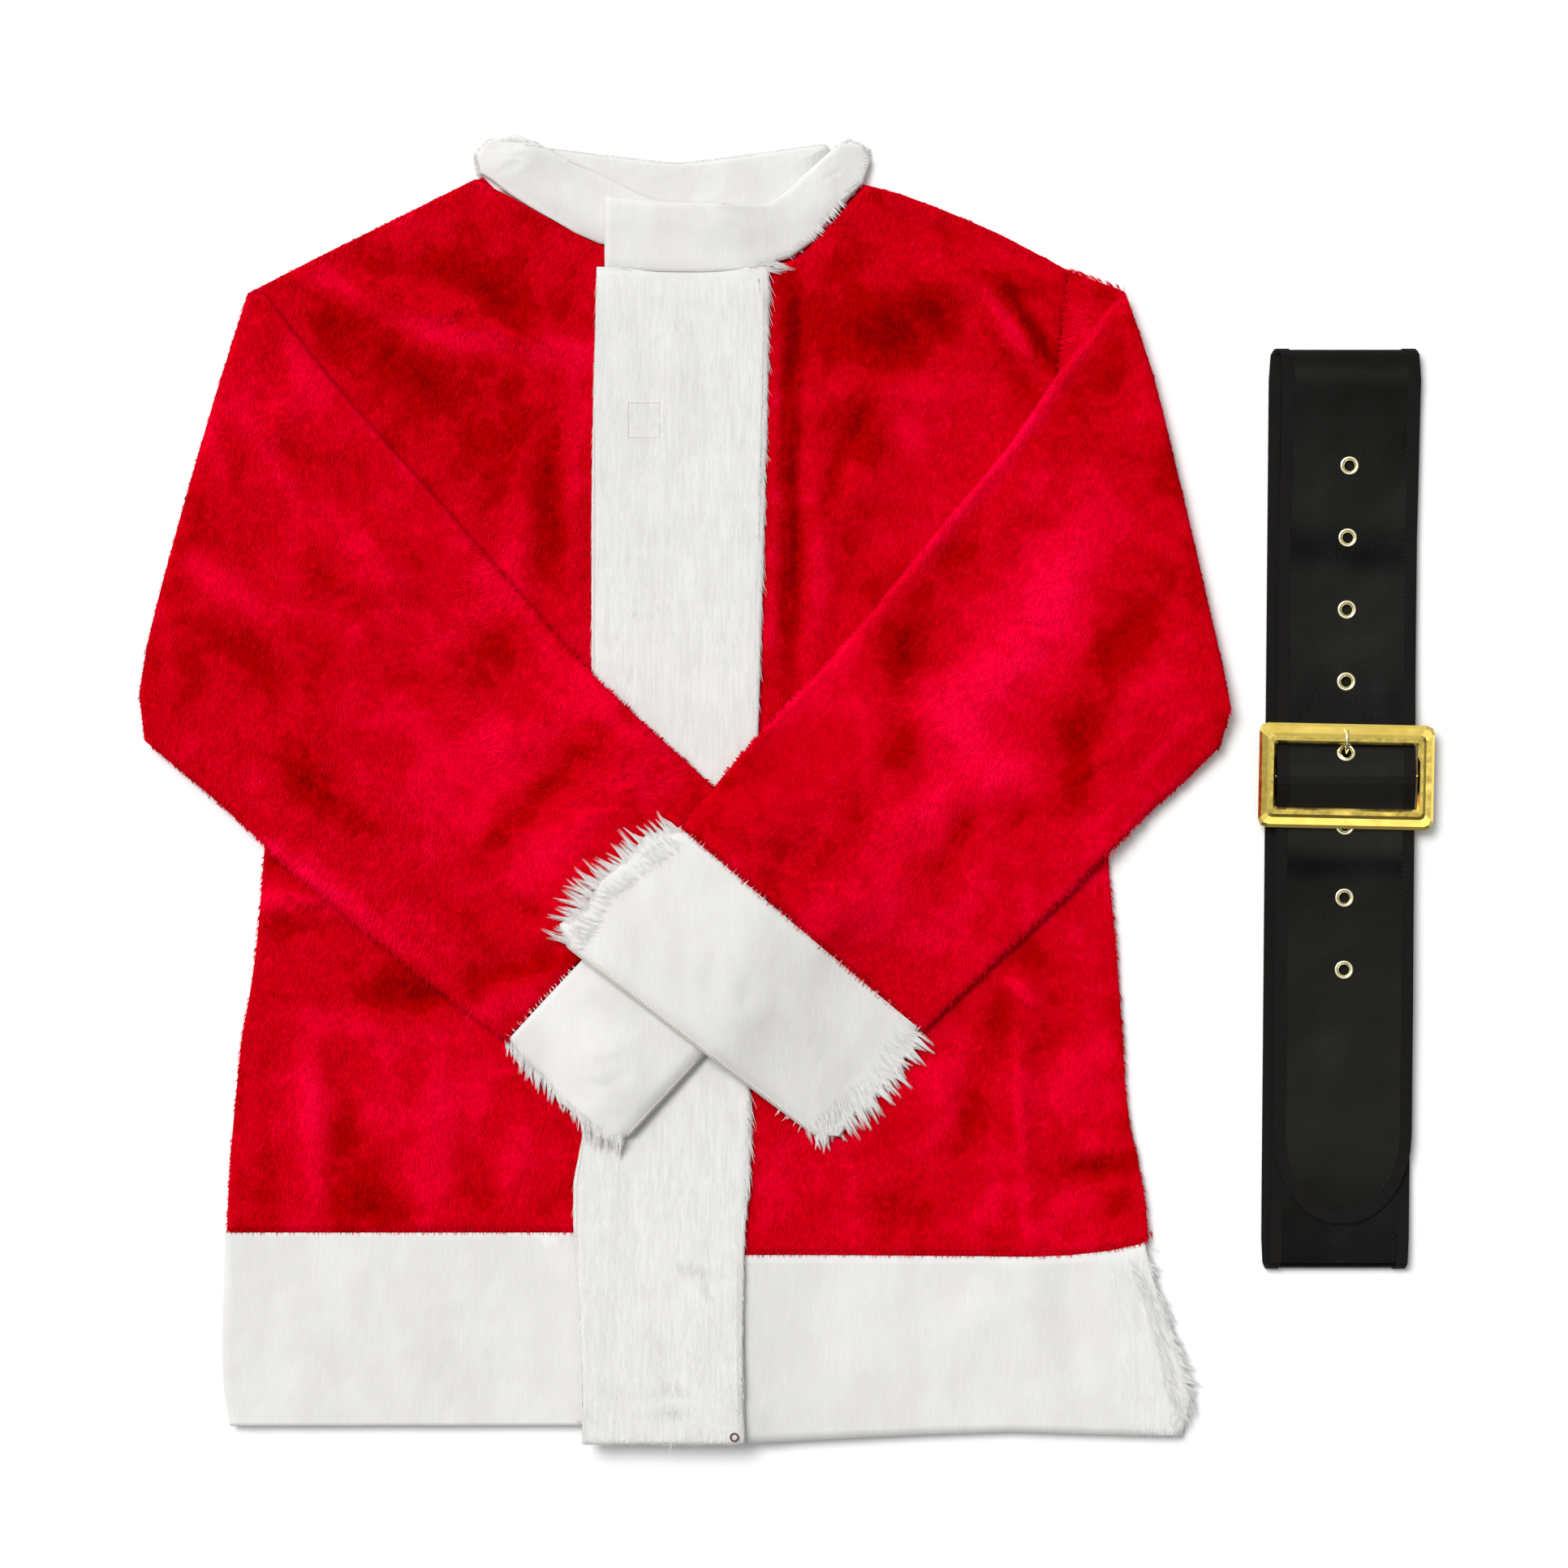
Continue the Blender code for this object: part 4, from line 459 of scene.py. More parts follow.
def blend(made, share, first, second, way="MIX"):
    """Two colours mixed; each is a colour or a socket."""
    mixed = node(made, "ShaderNodeMix")
    mixed.data_type = "RGBA"
    mixed.blend_type = way
    for key, value in (("A", first), ("B", second)):
        socket = next(s for s in mixed.inputs if s.name == key and s.type == "RGBA")
        feed(made, socket, (*value, 1) if isinstance(value, tuple) else value)
    feed(made, mixed.inputs["Factor"], share)
    return next(s for s in mixed.outputs if s.type == "RGBA")


def calculate(made, way, first, second=0.0):
    """Arithmetic on sockets or numbers."""
    maths = node(made, "ShaderNodeMath")
    maths.operation = way
    for socket, value in zip(maths.inputs, (first, second)):
        feed(made, socket, value)
    return maths.outputs[0]


def roughen(made, height, distance, strength, before=None):
    """Bump from a height, on top of an earlier bump if there is one."""
    bump = node(made, "ShaderNodeBump", Strength=strength, Distance=distance)
    join(made, height, bump.inputs["Height"])
    if before is not None:
        join(made, before, bump.inputs["Normal"])
    join(made, bump.outputs["Normal"], made.node_tree.nodes["Principled BSDF"].inputs["Normal"])
    return bump.outputs["Normal"]


def ramp(made, share, stops):
    """A colour ramp; stops are places and colours."""
    scale = node(made, "ShaderNodeValToRGB")
    scale.color_ramp.interpolation = "EASE"
    while len(scale.color_ramp.elements) < len(stops):
        scale.color_ramp.elements.new(0.5)
    for element, (place, colour) in zip(scale.color_ramp.elements, stops):
        element.position = place
        element.color = (*colour, 1)
    join(made, share, scale.inputs["Fac"])
    return scale.outputs["Color"]


def grey_ramp(made, share, levels):
    """A colour ramp of greys; levels are places and grey levels."""
    return ramp(made, share, [(place, (level,) * 3) for place, level in levels])


# ---------------------------------------------------------------- materials
def nap_and_painted_shading_colour(made):
    """Red that shifts where the nap lies another way, with painted highlights on ridges and painted shade
    in troughs.
    """
    broad = remap(made, speckle(made, 14, 3, 0.55, 0.4), 0.34, 0.66, -0.12, 0.12)
    small = remap(made, speckle(made, 70, 4, 0.62, 0.5), 0.32, 0.68, -0.09, 0.09)
    clouds = calculate(made, "ADD", broad, small)
    return ramp(made, calculate(made, "ADD", channels(made, "nap_and_painted_shading")["Red"], clouds), SHADED_TO_LIT_REDS)


def plush_cloth():
    """Short red pile seen from above."""
    made = material("plush_cloth")
    fine = speckle(made, 620, 3, 0.6, stretch=(1.0, 0.45, 1.0))
    colour = blend(made, remap(made, fine, 0.3, 0.7, 0.35, 0.0), nap_and_painted_shading_colour(made), (0.20, 0.0, 0.0))
    coat(made, colour, Roughness=0.9, Specular_IOR_Level=0.0, Sheen_Weight=0.4, Sheen_Roughness=0.45,
         Sheen_Tint=(*PLUSH_SHEEN, 1))
    roughen(made, fine, 0.0007, 0.7, before=roughen(made, speckle(made, 120, 3, 0.6), 0.0012, 0.5))
    return made


def pile_material(name, colour_of, root_shade, depth, shine, sheen, tint):
    """Strands: painted shade toward the root, each a little different."""
    made = material(name)
    strand = channels(made, "strand")
    shade = remap(made, strand["Red"], 0.0, 0.8, 1.0, 0.0)
    each = remap(made, strand["Green"], 0.0, 1.0, 0.4 * depth, 0.0)
    colour = blend(made, calculate(made, "MULTIPLY", shade, depth), colour_of(made), root_shade)
    coat(made, blend(made, each, colour, root_shade), Roughness=0.65, Specular_IOR_Level=shine,
         Sheen_Weight=sheen, Sheen_Roughness=0.4, Sheen_Tint=(*tint, 1))
    return made


def white_patches(made, first, second):
    """White, a little warmer and greyer in patches."""
    cloudy = speckle(made, 42, 3, 0.5, stretch=(1.0, 0.5, 1.0), turn=0.7)
    return blend(made, remap(made, cloudy, 0.35, 0.65, 0, 1), first, second)


def strand_colour(made):
    """White with painted shade in fine grey streaks along the pile."""
    patches = white_patches(made, (0.715, 0.707, 0.69), (0.74, 0.733, 0.718))
    shade_streaks = speckle(made, 460, 4, 0.65, 0.8, stretch=(1.0, 0.09, 1.0))
    return blend(made, remap(made, shade_streaks, 0.36, 0.62, 0.6, 0.0), patches, (0.61, 0.602, 0.588))


def fur_cloth():
    """The white fur's backing, and its pile where that is combed flat."""
    made = material("fur_cloth")
    fine = speckle(made, 700, 3, 0.6, stretch=(1.0, 0.12, 1.0))
    patches = white_patches(made, (0.640, 0.632, 0.612), (0.680, 0.673, 0.657))
    colour = blend(made, remap(made, fine, 0.3, 0.7, 0.25, 0.0), patches, FUR_SHADE)
    coat(made, colour, Roughness=0.9, Specular_IOR_Level=0.1, Sheen_Weight=0.2)
    soft = speckle(made, 55, 3, 0.55, stretch=(1.0, 0.55, 1.0), turn=0.7)
    roughen(made, fine, 0.0006, 0.3, before=roughen(made, soft, 0.002, 0.4))
    return made


def sewing_thread(name, dark, light, shine):
    """Twisted sewing thread."""
    made = material(name)
    twist = speckle(made, 1500, 2)
    coat(made, blend(made, twist, dark, light), Roughness=0.6, Specular_IOR_Level=shine)
    roughen(made, twist, 0.0002, 0.5)
    return made


def painted_strap_highlights(made):
    """The strap's colour, with painted highlights and shade along its gentle waves, whose lines wander a
    little.
    """
    parts = node(made, "ShaderNodeSeparateXYZ")
    wander = blend(made, 0.03, place_on_object(made), speckle(made, 9, 2), "ADD")
    join(made, wander, parts.inputs["Vector"])
    foot, head = [(y - ORIGIN[1]) / 1000 for y in (STRAP_WAVE_HIGHLIGHTS[0][0], STRAP_WAVE_HIGHLIGHTS[-1][0])]
    along = node(made, "ShaderNodeMapRange", From_Min=foot, From_Max=head)
    join(made, parts.outputs["Y"], along.inputs["Value"])
    run = STRAP_WAVE_HIGHLIGHTS[-1][0] - STRAP_WAVE_HIGHLIGHTS[0][0]
    stops = [((y - STRAP_WAVE_HIGHLIGHTS[0][0]) / run, tuple(share * np.array(STRAP_HIGHLIGHT))) for y, share in STRAP_WAVE_HIGHLIGHTS]
    return ramp(made, along.outputs["Result"], stops)


def coated_strap():
    """Black coated cloth with a fine pressed grain, and painted highlights and shade along its waves."""
    made = material("coated_strap")
    cells = node(made, "ShaderNodeTexVoronoi", Scale=900.0)
    cells.feature = "SMOOTH_F1"
    join(made, place_on_object(made), cells.inputs["Vector"])
    coat(made, painted_strap_highlights(made), Roughness=0.36, Specular_IOR_Level=0.07)
    dents = roughen(made, speckle(made, 14, 2, 0.45), 0.012, 0.5)
    roughen(made, cells.outputs["Distance"], 0.0004, 0.35, before=dents)
    return made


def woven_tape():
    """Black edge binding."""
    made = material("woven_tape")
    ribs = node(made, "ShaderNodeTexWave", Scale=420.0, Distortion=0.6)
    ribs.bands_direction = "Y"
    join(made, place_on_object(made), ribs.inputs["Vector"])
    colour = blend(made, speckle(made, 200, 2), (0.003, 0.0026, 0.0022), (0.0065, 0.0056, 0.0048))
    coat(made, colour, Roughness=0.6, Specular_IOR_Level=0.1)
    roughen(made, ribs.outputs["Fac"], 0.0003, 0.4)
    return made


def gold(name, colour, dark, roughness):
    """Polished plating, with faint wear and dust."""
    made = material(name)
    worn = remap(made, speckle(made, 90, 4, 0.6), 0.45, 0.7, 0.0, 0.5)
    coat(made, blend(made, worn, colour, dark), Metallic=1.0)
    dust = remap(made, speckle(made, 300, 3, 0.6), 0.3, 0.7, roughness, roughness + 0.06)
    join(made, dust, made.node_tree.nodes["Principled BSDF"].inputs["Roughness"])
    roughen(made, speckle(made, 38, 2, 0.4), 0.0016, 0.5)
    return made


def dull_wire():
    """Darkened wire."""
    made = material("dull_wire")
    colour = blend(made, speckle(made, 900, 2), (0.05, 0.02, 0.015), (0.15, 0.07, 0.055))
    coat(made, colour, Metallic=0.8, Roughness=0.5)
    return made


def pale_table():
    """The table top's faintly uneven white."""
    made = material("pale_table")
    colour = blend(made, speckle(made, 3, 2), (0.86, 0.86, 0.86), (0.89, 0.89, 0.89))
    coat(made, colour, Roughness=0.9)
    return made


CREAM = sewing_thread("cream_thread", (0.80, 0.765, 0.67), (0.88, 0.855, 0.78), 0.2)
BLACK = sewing_thread("black_thread", (0.004, 0.004, 0.004), (0.016, 0.015, 0.014), 0.5)
STRAP = coated_strap()
TAPE = woven_tape()
BRASS = gold("polished_gold", (0.98, 0.74, 0.17), (0.84, 0.58, 0.09), 0.10)
PALE_BRASS = gold("pale_gold", (0.97, 0.91, 0.62), (0.86, 0.77, 0.45), 0.14)
WIRE = dull_wire()

# per pile: blades for each square millimetre of visible cloth, their width, how far the tips stand off
# for each millimetre of length, how much the blades stray from the comb, materials and slot
Pile = namedtuple("Pile", "density width lift spread cloth strands slot")
RED = Pile(
    0.45, 0.85, 0.22, 1.0, plush_cloth(),
    pile_material("plush_pile", nap_and_painted_shading_colour, PAINTED_SHADE_RED, 0.3, 0.0, 0.35, PLUSH_SHEEN), "red_plush",
)
FUR = Pile(
    1.7, 0.42, 0.004, 0.4, fur_cloth(),
    pile_material("fur_pile", strand_colour, FUR_SHADE, 0.25, 0.1, 0.1, (1.0, 0.99, 0.97)), "white_fur",
)


# ---------------------------------------------------------------- meshes
def node_arrays(name):
    """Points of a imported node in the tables' millimetres, welded, and its triangles."""
    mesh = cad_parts[name].data
    mesh.calc_loop_triangles()
    triangles = np.empty(len(mesh.loop_triangles) * 3, np.int32)
    mesh.loop_triangles.foreach_get("vertices", triangles)
    kept, number = np.unique(table_points(mesh).round(3), axis=0, return_inverse=True)
    triangles = number.reshape(-1)[triangles].reshape(-1, 3)
    whole = (np.diff(np.sort(triangles, axis=1), axis=1) > 0).all(axis=1)
    return kept, triangles[whole]


def table_points(mesh):
    """A mesh's points in the tables' millimetres."""
    points = np.empty(len(mesh.vertices) * 3)
    mesh.vertices.foreach_get("co", points)
    return points.reshape(-1, 3) * 1000 + ORIGIN


def tree_of(points, triangles):
    """A tree of a mesh, for casting rays at it."""
    return BVHTree.FromPolygons(points.tolist(), triangles.tolist())


def tree_of_all(pieces):
    """One tree of several meshes."""
    starts = np.cumsum([0] + [len(points) for points, _ in pieces])
    return tree_of(np.vstack([points for points, _ in pieces]),
                   np.vstack([triangles + start for (_, triangles), start in zip(pieces, starts)]))


def top_at(tree, x, y, otherwise=None):
    """Height of a tree's highest surface at a place in plan."""
    hit = tree.ray_cast(Vector((x, y, HIGH)), DOWN)[0]
    return otherwise if hit is None else hit.z


def covered(tree, points, clear):
    """For each point, whether the tree lies anywhere above it."""
    return np.array([tree.ray_cast(Vector((x, y, z + clear)), UP, HIGH)[0] is not None
                     for x, y, z in points])


def refine(points, triangles, cuts):
    """Splits the faces that look up and aren't inside a tube into smaller ones."""
    body = bmesh.new()
    corners = [body.verts.new(p) for p in points]
    faces = [body.faces.new([corners[k] for k in triangle]) for triangle in triangles]
    opened = [faces[k] for k in np.flatnonzero(open_faces(points, triangles))]
    edges = {edge for face in opened for edge in face.edges}
    bmesh.ops.subdivide_edges(body, edges=list(edges), cuts=cuts, use_grid_fill=True)
    bmesh.ops.triangulate(body, faces=body.faces)
    body.verts.index_update()
    points = np.array([v.co for v in body.verts])
    triangles = np.array([[v.index for v in f.verts] for f in body.faces])
    body.free()
    return points, triangles


def face_normals(points, triangles):
    """Normals as long as twice each triangle's area."""
    a, b, c = (points[triangles[:, k]] for k in range(3))
    return np.cross(b - a, c - a)


def point_normals(points, triangles):
    cross = face_normals(points, triangles)
    normals = np.zeros_like(points)
    for k in range(3):
        np.add.at(normals, triangles[:, k], cross)
    return normals / np.maximum(np.linalg.norm(normals, axis=1), 1e-9)[:, None]


def open_faces(points, triangles):
    """Mask of faces that look up and aren't inside a tube."""
    cross = face_normals(points, triangles)
    up = cross[:, 2] > LEAST_UP * np.linalg.norm(cross, axis=1)
    centre = points[triangles].mean(axis=1)
    up[up] = ~covered(tree_of(points, triangles), centre[up], 0.05)
    return up


def open_points(points, triangles):
    """Mask of points whose faces are all open ones."""
    mask = np.ones(len(points), bool)
    mask[triangles[~open_faces(points, triangles)].reshape(-1)] = False
    return mask


def relax(points, triangles, free, rounds):
    """Evens out the heights of the free points."""
    pairs = np.vstack([triangles[:, [0, 1]], triangles[:, [1, 2]], triangles[:, [2, 0]]])
    pairs = np.unique(np.sort(pairs, axis=1), axis=0)
    one, other = np.vstack([pairs, pairs[:, ::-1]]).T
    count = np.bincount(one, minlength=len(points))
    z = points[:, 2].copy()
    for _ in range(rounds):
        total = np.bincount(one, z[other], len(points))
        z = np.where(free, 0.4 * z + 0.6 * total / np.maximum(count, 1), z)
    points[:, 2] = z


def along(points, ax, ay, bx, by):
    """A line's start and run, and each point's place along it, from 0 to 1."""
    start, run = np.array([ax, ay]), np.array([bx - ax, by - ay])
    return start, run, np.clip((points[:, :2] - start) @ run / (run @ run), 0, 1)


def crease(points, ax, ay, bx, by, half_width, height):
    """A soft ridge or trough along a line, fading at its ends."""
    a, run, t = along(points, ax, ay, bx, by)
    away = np.linalg.norm(points[:, :2] - (a + t[:, None] * run), axis=1)
    return height * np.exp(-(away / half_width) ** 2) * (0.2 + 0.8 * np.sin(math.pi * t) ** 0.6)


def shape_edge(points, own, ax, ay, bx, by, depth, out, up, kept):
    """Moves the strip of a piece beside a line outward and up, and thins it toward the line."""
    a, run, t = along(points, ax, ay, bx, by)
    outward = np.array([-run[1], run[0]]) / np.linalg.norm(run)
    inside = (a - points[:, :2]) @ outward
    share = np.clip(1 - inside / depth, 0, 2) ** 1.5 * np.sin(math.pi * t) ** 0.5
    for k in np.flatnonzero(share > 1e-3):
        x, y = points[k, :2] - 2 * outward
        under = own.ray_cast(Vector((x, y, -5)), UP, HIGH)[0]
        base = points[k, 2] if under is None else min(under.z, points[k, 2])
        thin = 1 - (1 - kept) * min(share[k], 1)
        points[k, 2] = base + (points[k, 2] - base) * thin + up * share[k]
    points[:, :2] += share[:, None] * out * outward


def ripple(points, size, seed):
    """Smooth random heights from -1 to 1, with hills of a given size."""
    return np.array([noise.noise(Vector((x / size, y / size, seed))) for x, y, _ in points])


def make_mesh(name, points, triangles, finish):
    """A smooth piece that rides on the frame, from points in the tables' millimetres."""
    mesh = bpy.data.meshes.new(name)
    mesh.from_pydata(((points - ORIGIN) / 1000).tolist(), [], triangles.tolist())
    mesh.validate()
    mesh.shade_smooth()
    mesh.materials.append(finish)
    piece = bpy.data.objects.new(name, mesh)
    bpy.context.scene.collection.objects.link(piece)
    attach(piece, "root")
    return piece


# ---------------------------------------------------------------- pile and fur
def nearest_share(points, rows, blur, power):
    """How much each row of a table counts at each point."""
    away = np.linalg.norm(points[:, None, :2] - rows[None, :, :2], axis=2)
    weight = 1 / (away ** 2 + blur ** 2) ** power
    return weight / weight.sum(axis=1, keepdims=True)


def comb_at(points, rows):
    """At each point, the pile's direction in plan, its length, and the comb table's last two columns."""
    rows = np.array(rows, float)
    weight, close = nearest_share(points, rows, *WAY_FADE), nearest_share(points, rows, *SHOWN_FADE)
    angle = np.radians(rows[:, 2])
    way = np.column_stack([weight @ np.cos(angle), weight @ np.sin(angle)])
    way /= np.linalg.norm(way, axis=1)[:, None]
    shown = np.clip((close @ rows[:, 5] - 0.1) / 0.8, 0, 1)
    return way, weight @ rows[:, 3], close @ rows[:, 4], shown


def nap_and_painted_shading_at(points, rows):
    """How light or dark the nap lies at each point, with painted highlights on ridges and painted shade in
    troughs, as a grey around 0.5.
    """
    value = np.zeros(len(points))
    for x, y, long, wide, degrees, amount in rows:
        c, s = math.cos(math.radians(degrees)), math.sin(math.radians(degrees))
        dx, dy = points[:, 0] - x, points[:, 1] - y
        u, v = (dx * c + dy * s) / long, (dy * c - dx * s) / wide
        value += amount * np.exp(-(u * u + v * v))
    grey = np.clip(0.5 + 0.34 * value, 0, 1)
    return np.column_stack([grey, grey, grey, np.ones(len(points))])


def paint(piece, name, colours):
    """Stores a colour a point for the piece's material."""
    layer = piece.data.color_attributes.new(name, "FLOAT_COLOR", "POINT")
    layer.data.foreach_set("color", colours.astype(np.float32).reshape(-1))


def trim(own, root, ahead, length, loose):
    """Shortens strands whose tips would stand over the edge of their piece, unless they are loose there."""
    tied = np.flatnonzero(RNG.random(len(root)) >= loose)
    for share in (1.0, 0.55, 0.3):
        tips = root[tied] + ahead[tied] * (length[tied] * share)[:, None]
        off = np.array([top_at(own, x, y) is None for x, y, _ in tips], bool)
        length[tied[~off]] *= share
        tied = tied[off]
        if not len(tied):
            break
    length[tied] = 1.0
    return length


def scatter(points, triangles, density, scene_tree):
    """Roots spread evenly over what shows of a piece, with the surface's normal at each."""
    cross = face_normals(points, triangles)
    area = np.linalg.norm(cross, axis=1) / 2
    flat = cross[:, 2] / np.maximum(2 * area, 1e-9)
    area = np.where(flat > LEAST_FACING, area, 0)
    count = int(area.sum() * density)
    chosen = RNG.choice(len(triangles), count, p=area / area.sum())
    u, v = RNG.random(count), RNG.random(count)
    over = u + v > 1
    u[over], v[over] = 1 - u[over], 1 - v[over]
    share = np.column_stack([1 - u - v, u, v])[:, :, None]
    normals = point_normals(points, triangles)
    root = (points[triangles[chosen]] * share).sum(axis=1)
    normal = (normals[triangles[chosen]] * share).sum(axis=1)
    normal /= np.linalg.norm(normal, axis=1)[:, None]
    open_sky = ~covered(scene_tree, root, OPEN_SKY)
    return root[open_sky], normal[open_sky]


def settle(own, points, root, above):
    """Lays points of strands just above their own piece, but never far above their roots."""
    for k, (x, y, z) in enumerate(points):
        top = top_at(own, x, y)
        reach = math.hypot(x - root[k, 0], y - root[k, 1])
        highest = root[k, 2] + (0.0 if top is None else 0.4 * reach)
        points[k, 2] = min(highest, z if top is None else top + above[k, 0])


def stray(root, way, spread):
    """The comb's direction at each root, turned a little at random and in smooth waves."""
    turn = RNG.normal(0, 0.2, len(root)) + 0.3 * ripple(root, 9, 3.1) + 0.25 * ripple(root, 34, 7.7)
    turn *= spread
    c, s = np.cos(turn), np.sin(turn)
    return np.column_stack([c * way[:, 0] - s * way[:, 1], s * way[:, 0] + c * way[:, 1]])


def blades(name, root, normal, comb, own, pile):
    """Flat pointed strands, each two triangles, lying along the comb and lit as the cloth under them."""
    way, length, loose = comb
    count = len(root)
    ahead = np.column_stack([stray(root, way, pile.spread), np.zeros(count)])
    ahead += normal * [0.9, 0.9, 0] * loose[:, None]
    ahead -= normal * (ahead * normal).sum(axis=1)[:, None]
    ahead /= np.maximum(np.linalg.norm(ahead, axis=1), 1e-6)[:, None]
    side = np.cross(ahead, normal)
    length = trim(own, root, ahead, length * RNG.uniform(0.65, 1.15, count), loose)[:, None]
    rise = (pile.lift * RNG.uniform(0.4, 1.5, count))[:, None] * length
    half = pile.width * RNG.uniform(0.35, 0.65, count)[:, None]
    sway = RNG.normal(0, 0.08, count)[:, None]
    middle = root + ahead * length * 0.45 + normal * rise * 0.7
    tip = root + ahead * length + side * sway * length + normal * rise
    lit = normal + RNG.normal(0, 0.05, (count, 3))
    if pile is FUR:
        settle(own, middle, root, 0.7 * rise)
        settle(own, tip, root, rise)
        lit = np.column_stack([0.2 * lit[:, :2], np.maximum(lit[:, 2], 0.25)])
    points = np.stack([root - normal * 0.2, middle - side * half, middle + side * half, tip], axis=1)
    points[:, :, 2] = np.maximum(points[:, :, 2], 0.2)
    return strand_mesh(name, points, lit, pile)


def strand_mesh(name, points, lit, pile):
    """One mesh of strands from their four points each: root, two at the middle, tip."""
    count = len(points)
    start = np.arange(count)[:, None] * 4
    triangles = np.concatenate([start + [0, 2, 1], start + [1, 2, 3]], axis=1).reshape(-1, 3)
    piece = make_mesh(name, points.reshape(-1, 3), triangles, pile.strands)
    colours = np.ones((count, 4, 4))
    colours[:, :, 0] = [0, 0.5, 0.5, 1]
    colours[:, :, 1] = RNG.random(count)[:, None]
    paint(piece, "strand", colours)
    lit = lit / np.linalg.norm(lit, axis=1)[:, None]
    piece.data.normals_split_custom_set_from_vertices(np.repeat(lit, 4, axis=0).astype(np.float32))
    return piece


def lock(root, out, reach, count, everything):
    """Strands whose tips draw together, each as its root, two middle points and tip."""
    along_edge = np.array([-out[1], out[0]])
    tip = root + out * reach
    tip_height = top_at(everything, *tip, otherwise=0.3) + 0.5 + 0.05 * reach * RNG.uniform(0.2, 1.3)
    wide = 0.4 + 0.055 * reach
    bend = along_edge * RNG.normal(0, 0.06) * reach
    strands = []
    for _ in range(count):
        start = root - out * reach * RNG.uniform(0.02, 0.4) + along_edge * RNG.normal(0, wide)
        end = tip + along_edge * RNG.normal(0, 0.3 * wide) - out * reach * RNG.uniform(0, 0.62) ** 2
        low = top_at(everything, *start, otherwise=tip_height) + 0.3
        share = min(1.0, np.linalg.norm(end - root) / reach)
        end_height = low + (tip_height - low) * share
        middle = start * 0.5 + end * 0.5 + bend + along_edge * RNG.normal(0, 0.1 * wide)
        height = max(low, end_height) * 0.75 + min(low, end_height) * 0.25 + 0.02 * reach
        half = along_edge * RNG.uniform(0.09, 0.17)
        strands.append([(*start, low - 0.5), (*(middle + half), height), (*(middle - half), height),
                        (*end, end_height)])
    return strands


def tufts(name, rows, everything, pile):
    """Locks of strands that stand out from a piece's edge."""
    strands = []
    for ax, ay, bx, by, first, last, reach, locks, count in rows:
        for k in range(locks):
            t = (k + RNG.uniform(0.1, 0.9)) / locks
            angle = math.radians(first + (last - first) * t + RNG.normal(0, 7))
            out = np.array([math.cos(angle), math.sin(angle)])
            root = np.array([ax + (bx - ax) * t, ay + (by - ay) * t])
            strands += lock(root, out, reach * RNG.uniform(0.65, 1.2), count, everything)
    points = np.array(strands)
    lit = np.column_stack([RNG.normal(0, 0.12, (len(points), 2)), np.ones(len(points))])
    return strand_mesh(name, points, lit, pile)


# ---------------------------------------------------------------- sewing
def resample(points, pitch):
    """Evenly spaced places along a line, with the line's direction at each."""
    points = np.array(points, float)
    steps = np.linalg.norm(np.diff(points, axis=0), axis=1)
    run = np.concatenate([[0], np.cumsum(steps)])
    at = np.arange(pitch / 2, run[-1], pitch)
    line = np.column_stack([np.interp(at, run, points[:, k]) for k in (0, 1)])
    ahead = np.gradient(line, axis=0)
    return line, ahead / np.linalg.norm(ahead, axis=1)[:, None]


def stitches(name, places, ways, heights, length, thread, finish):
    """Short raised threads, each eight triangles."""
    points, triangles = [], []
    for (x, y), (wx, wy), z in zip(places, ways, heights):
        a = np.array([wx, wy, 0]) * length / 2
        b = np.array([-wy, wx, 0]) * thread.width / 2
        c = np.array([x, y, z])
        start = len(points)
        up = np.array([0, 0, thread.high])
        points += [c - a, c + a, c - b, c + b, c - up, c + up]
        for one, other in ((2, 5), (5, 3), (3, 4), (4, 2)):
            triangles.append([start + one, start + other, start])
            triangles.append([start + other, start + one, start + 1])
    return make_mesh(name, np.array(points), np.array(triangles), finish)


def machine_edges(shells):
    """Cream stitches along the fur's cut edges and round the patch behind the placket."""
    for number, (name, line, length) in enumerate(EDGES):
        places, ahead = resample(line, OVERLOCK.pitch)
        across = np.column_stack([-ahead[:, 1], ahead[:, 0]])
        heights = [top_at(shells[name], x, y, otherwise=3.0) + OVERLOCK.lift for x, y in places]
        stitches(f"overlock_{number}", places, across, heights, length, OVERLOCK, CREAM)


# ---------------------------------------------------------------- the jacket
def shell(name, points, triangles, solids):
    """A cloth piece on its solid's form: finer on top, evened out, with its creases where it shows."""
    if name not in MOSTLY_HIDDEN:
        points, triangles = refine(points, triangles, EDGE_CUTS.get(name, USUAL_CUTS))
        free = open_points(points, triangles)
        relax(points, triangles, free, EVENING_ROUNDS)
        free[free] = ~covered(solids, points[free], 0.25)
        rise = sum(height * ripple(points, size, seed) for height, size, seed in RIPPLES)
        for row in CREASES.get(name, []):
            rise = rise + CREASE_DEPTH * crease(points, *row)
        points[:, 2] += np.where(free, rise, 0)
    for row in SHAPED.get(name, []):
        shape_edge(points, tree_of(points, triangles), *row)
    return points, triangles


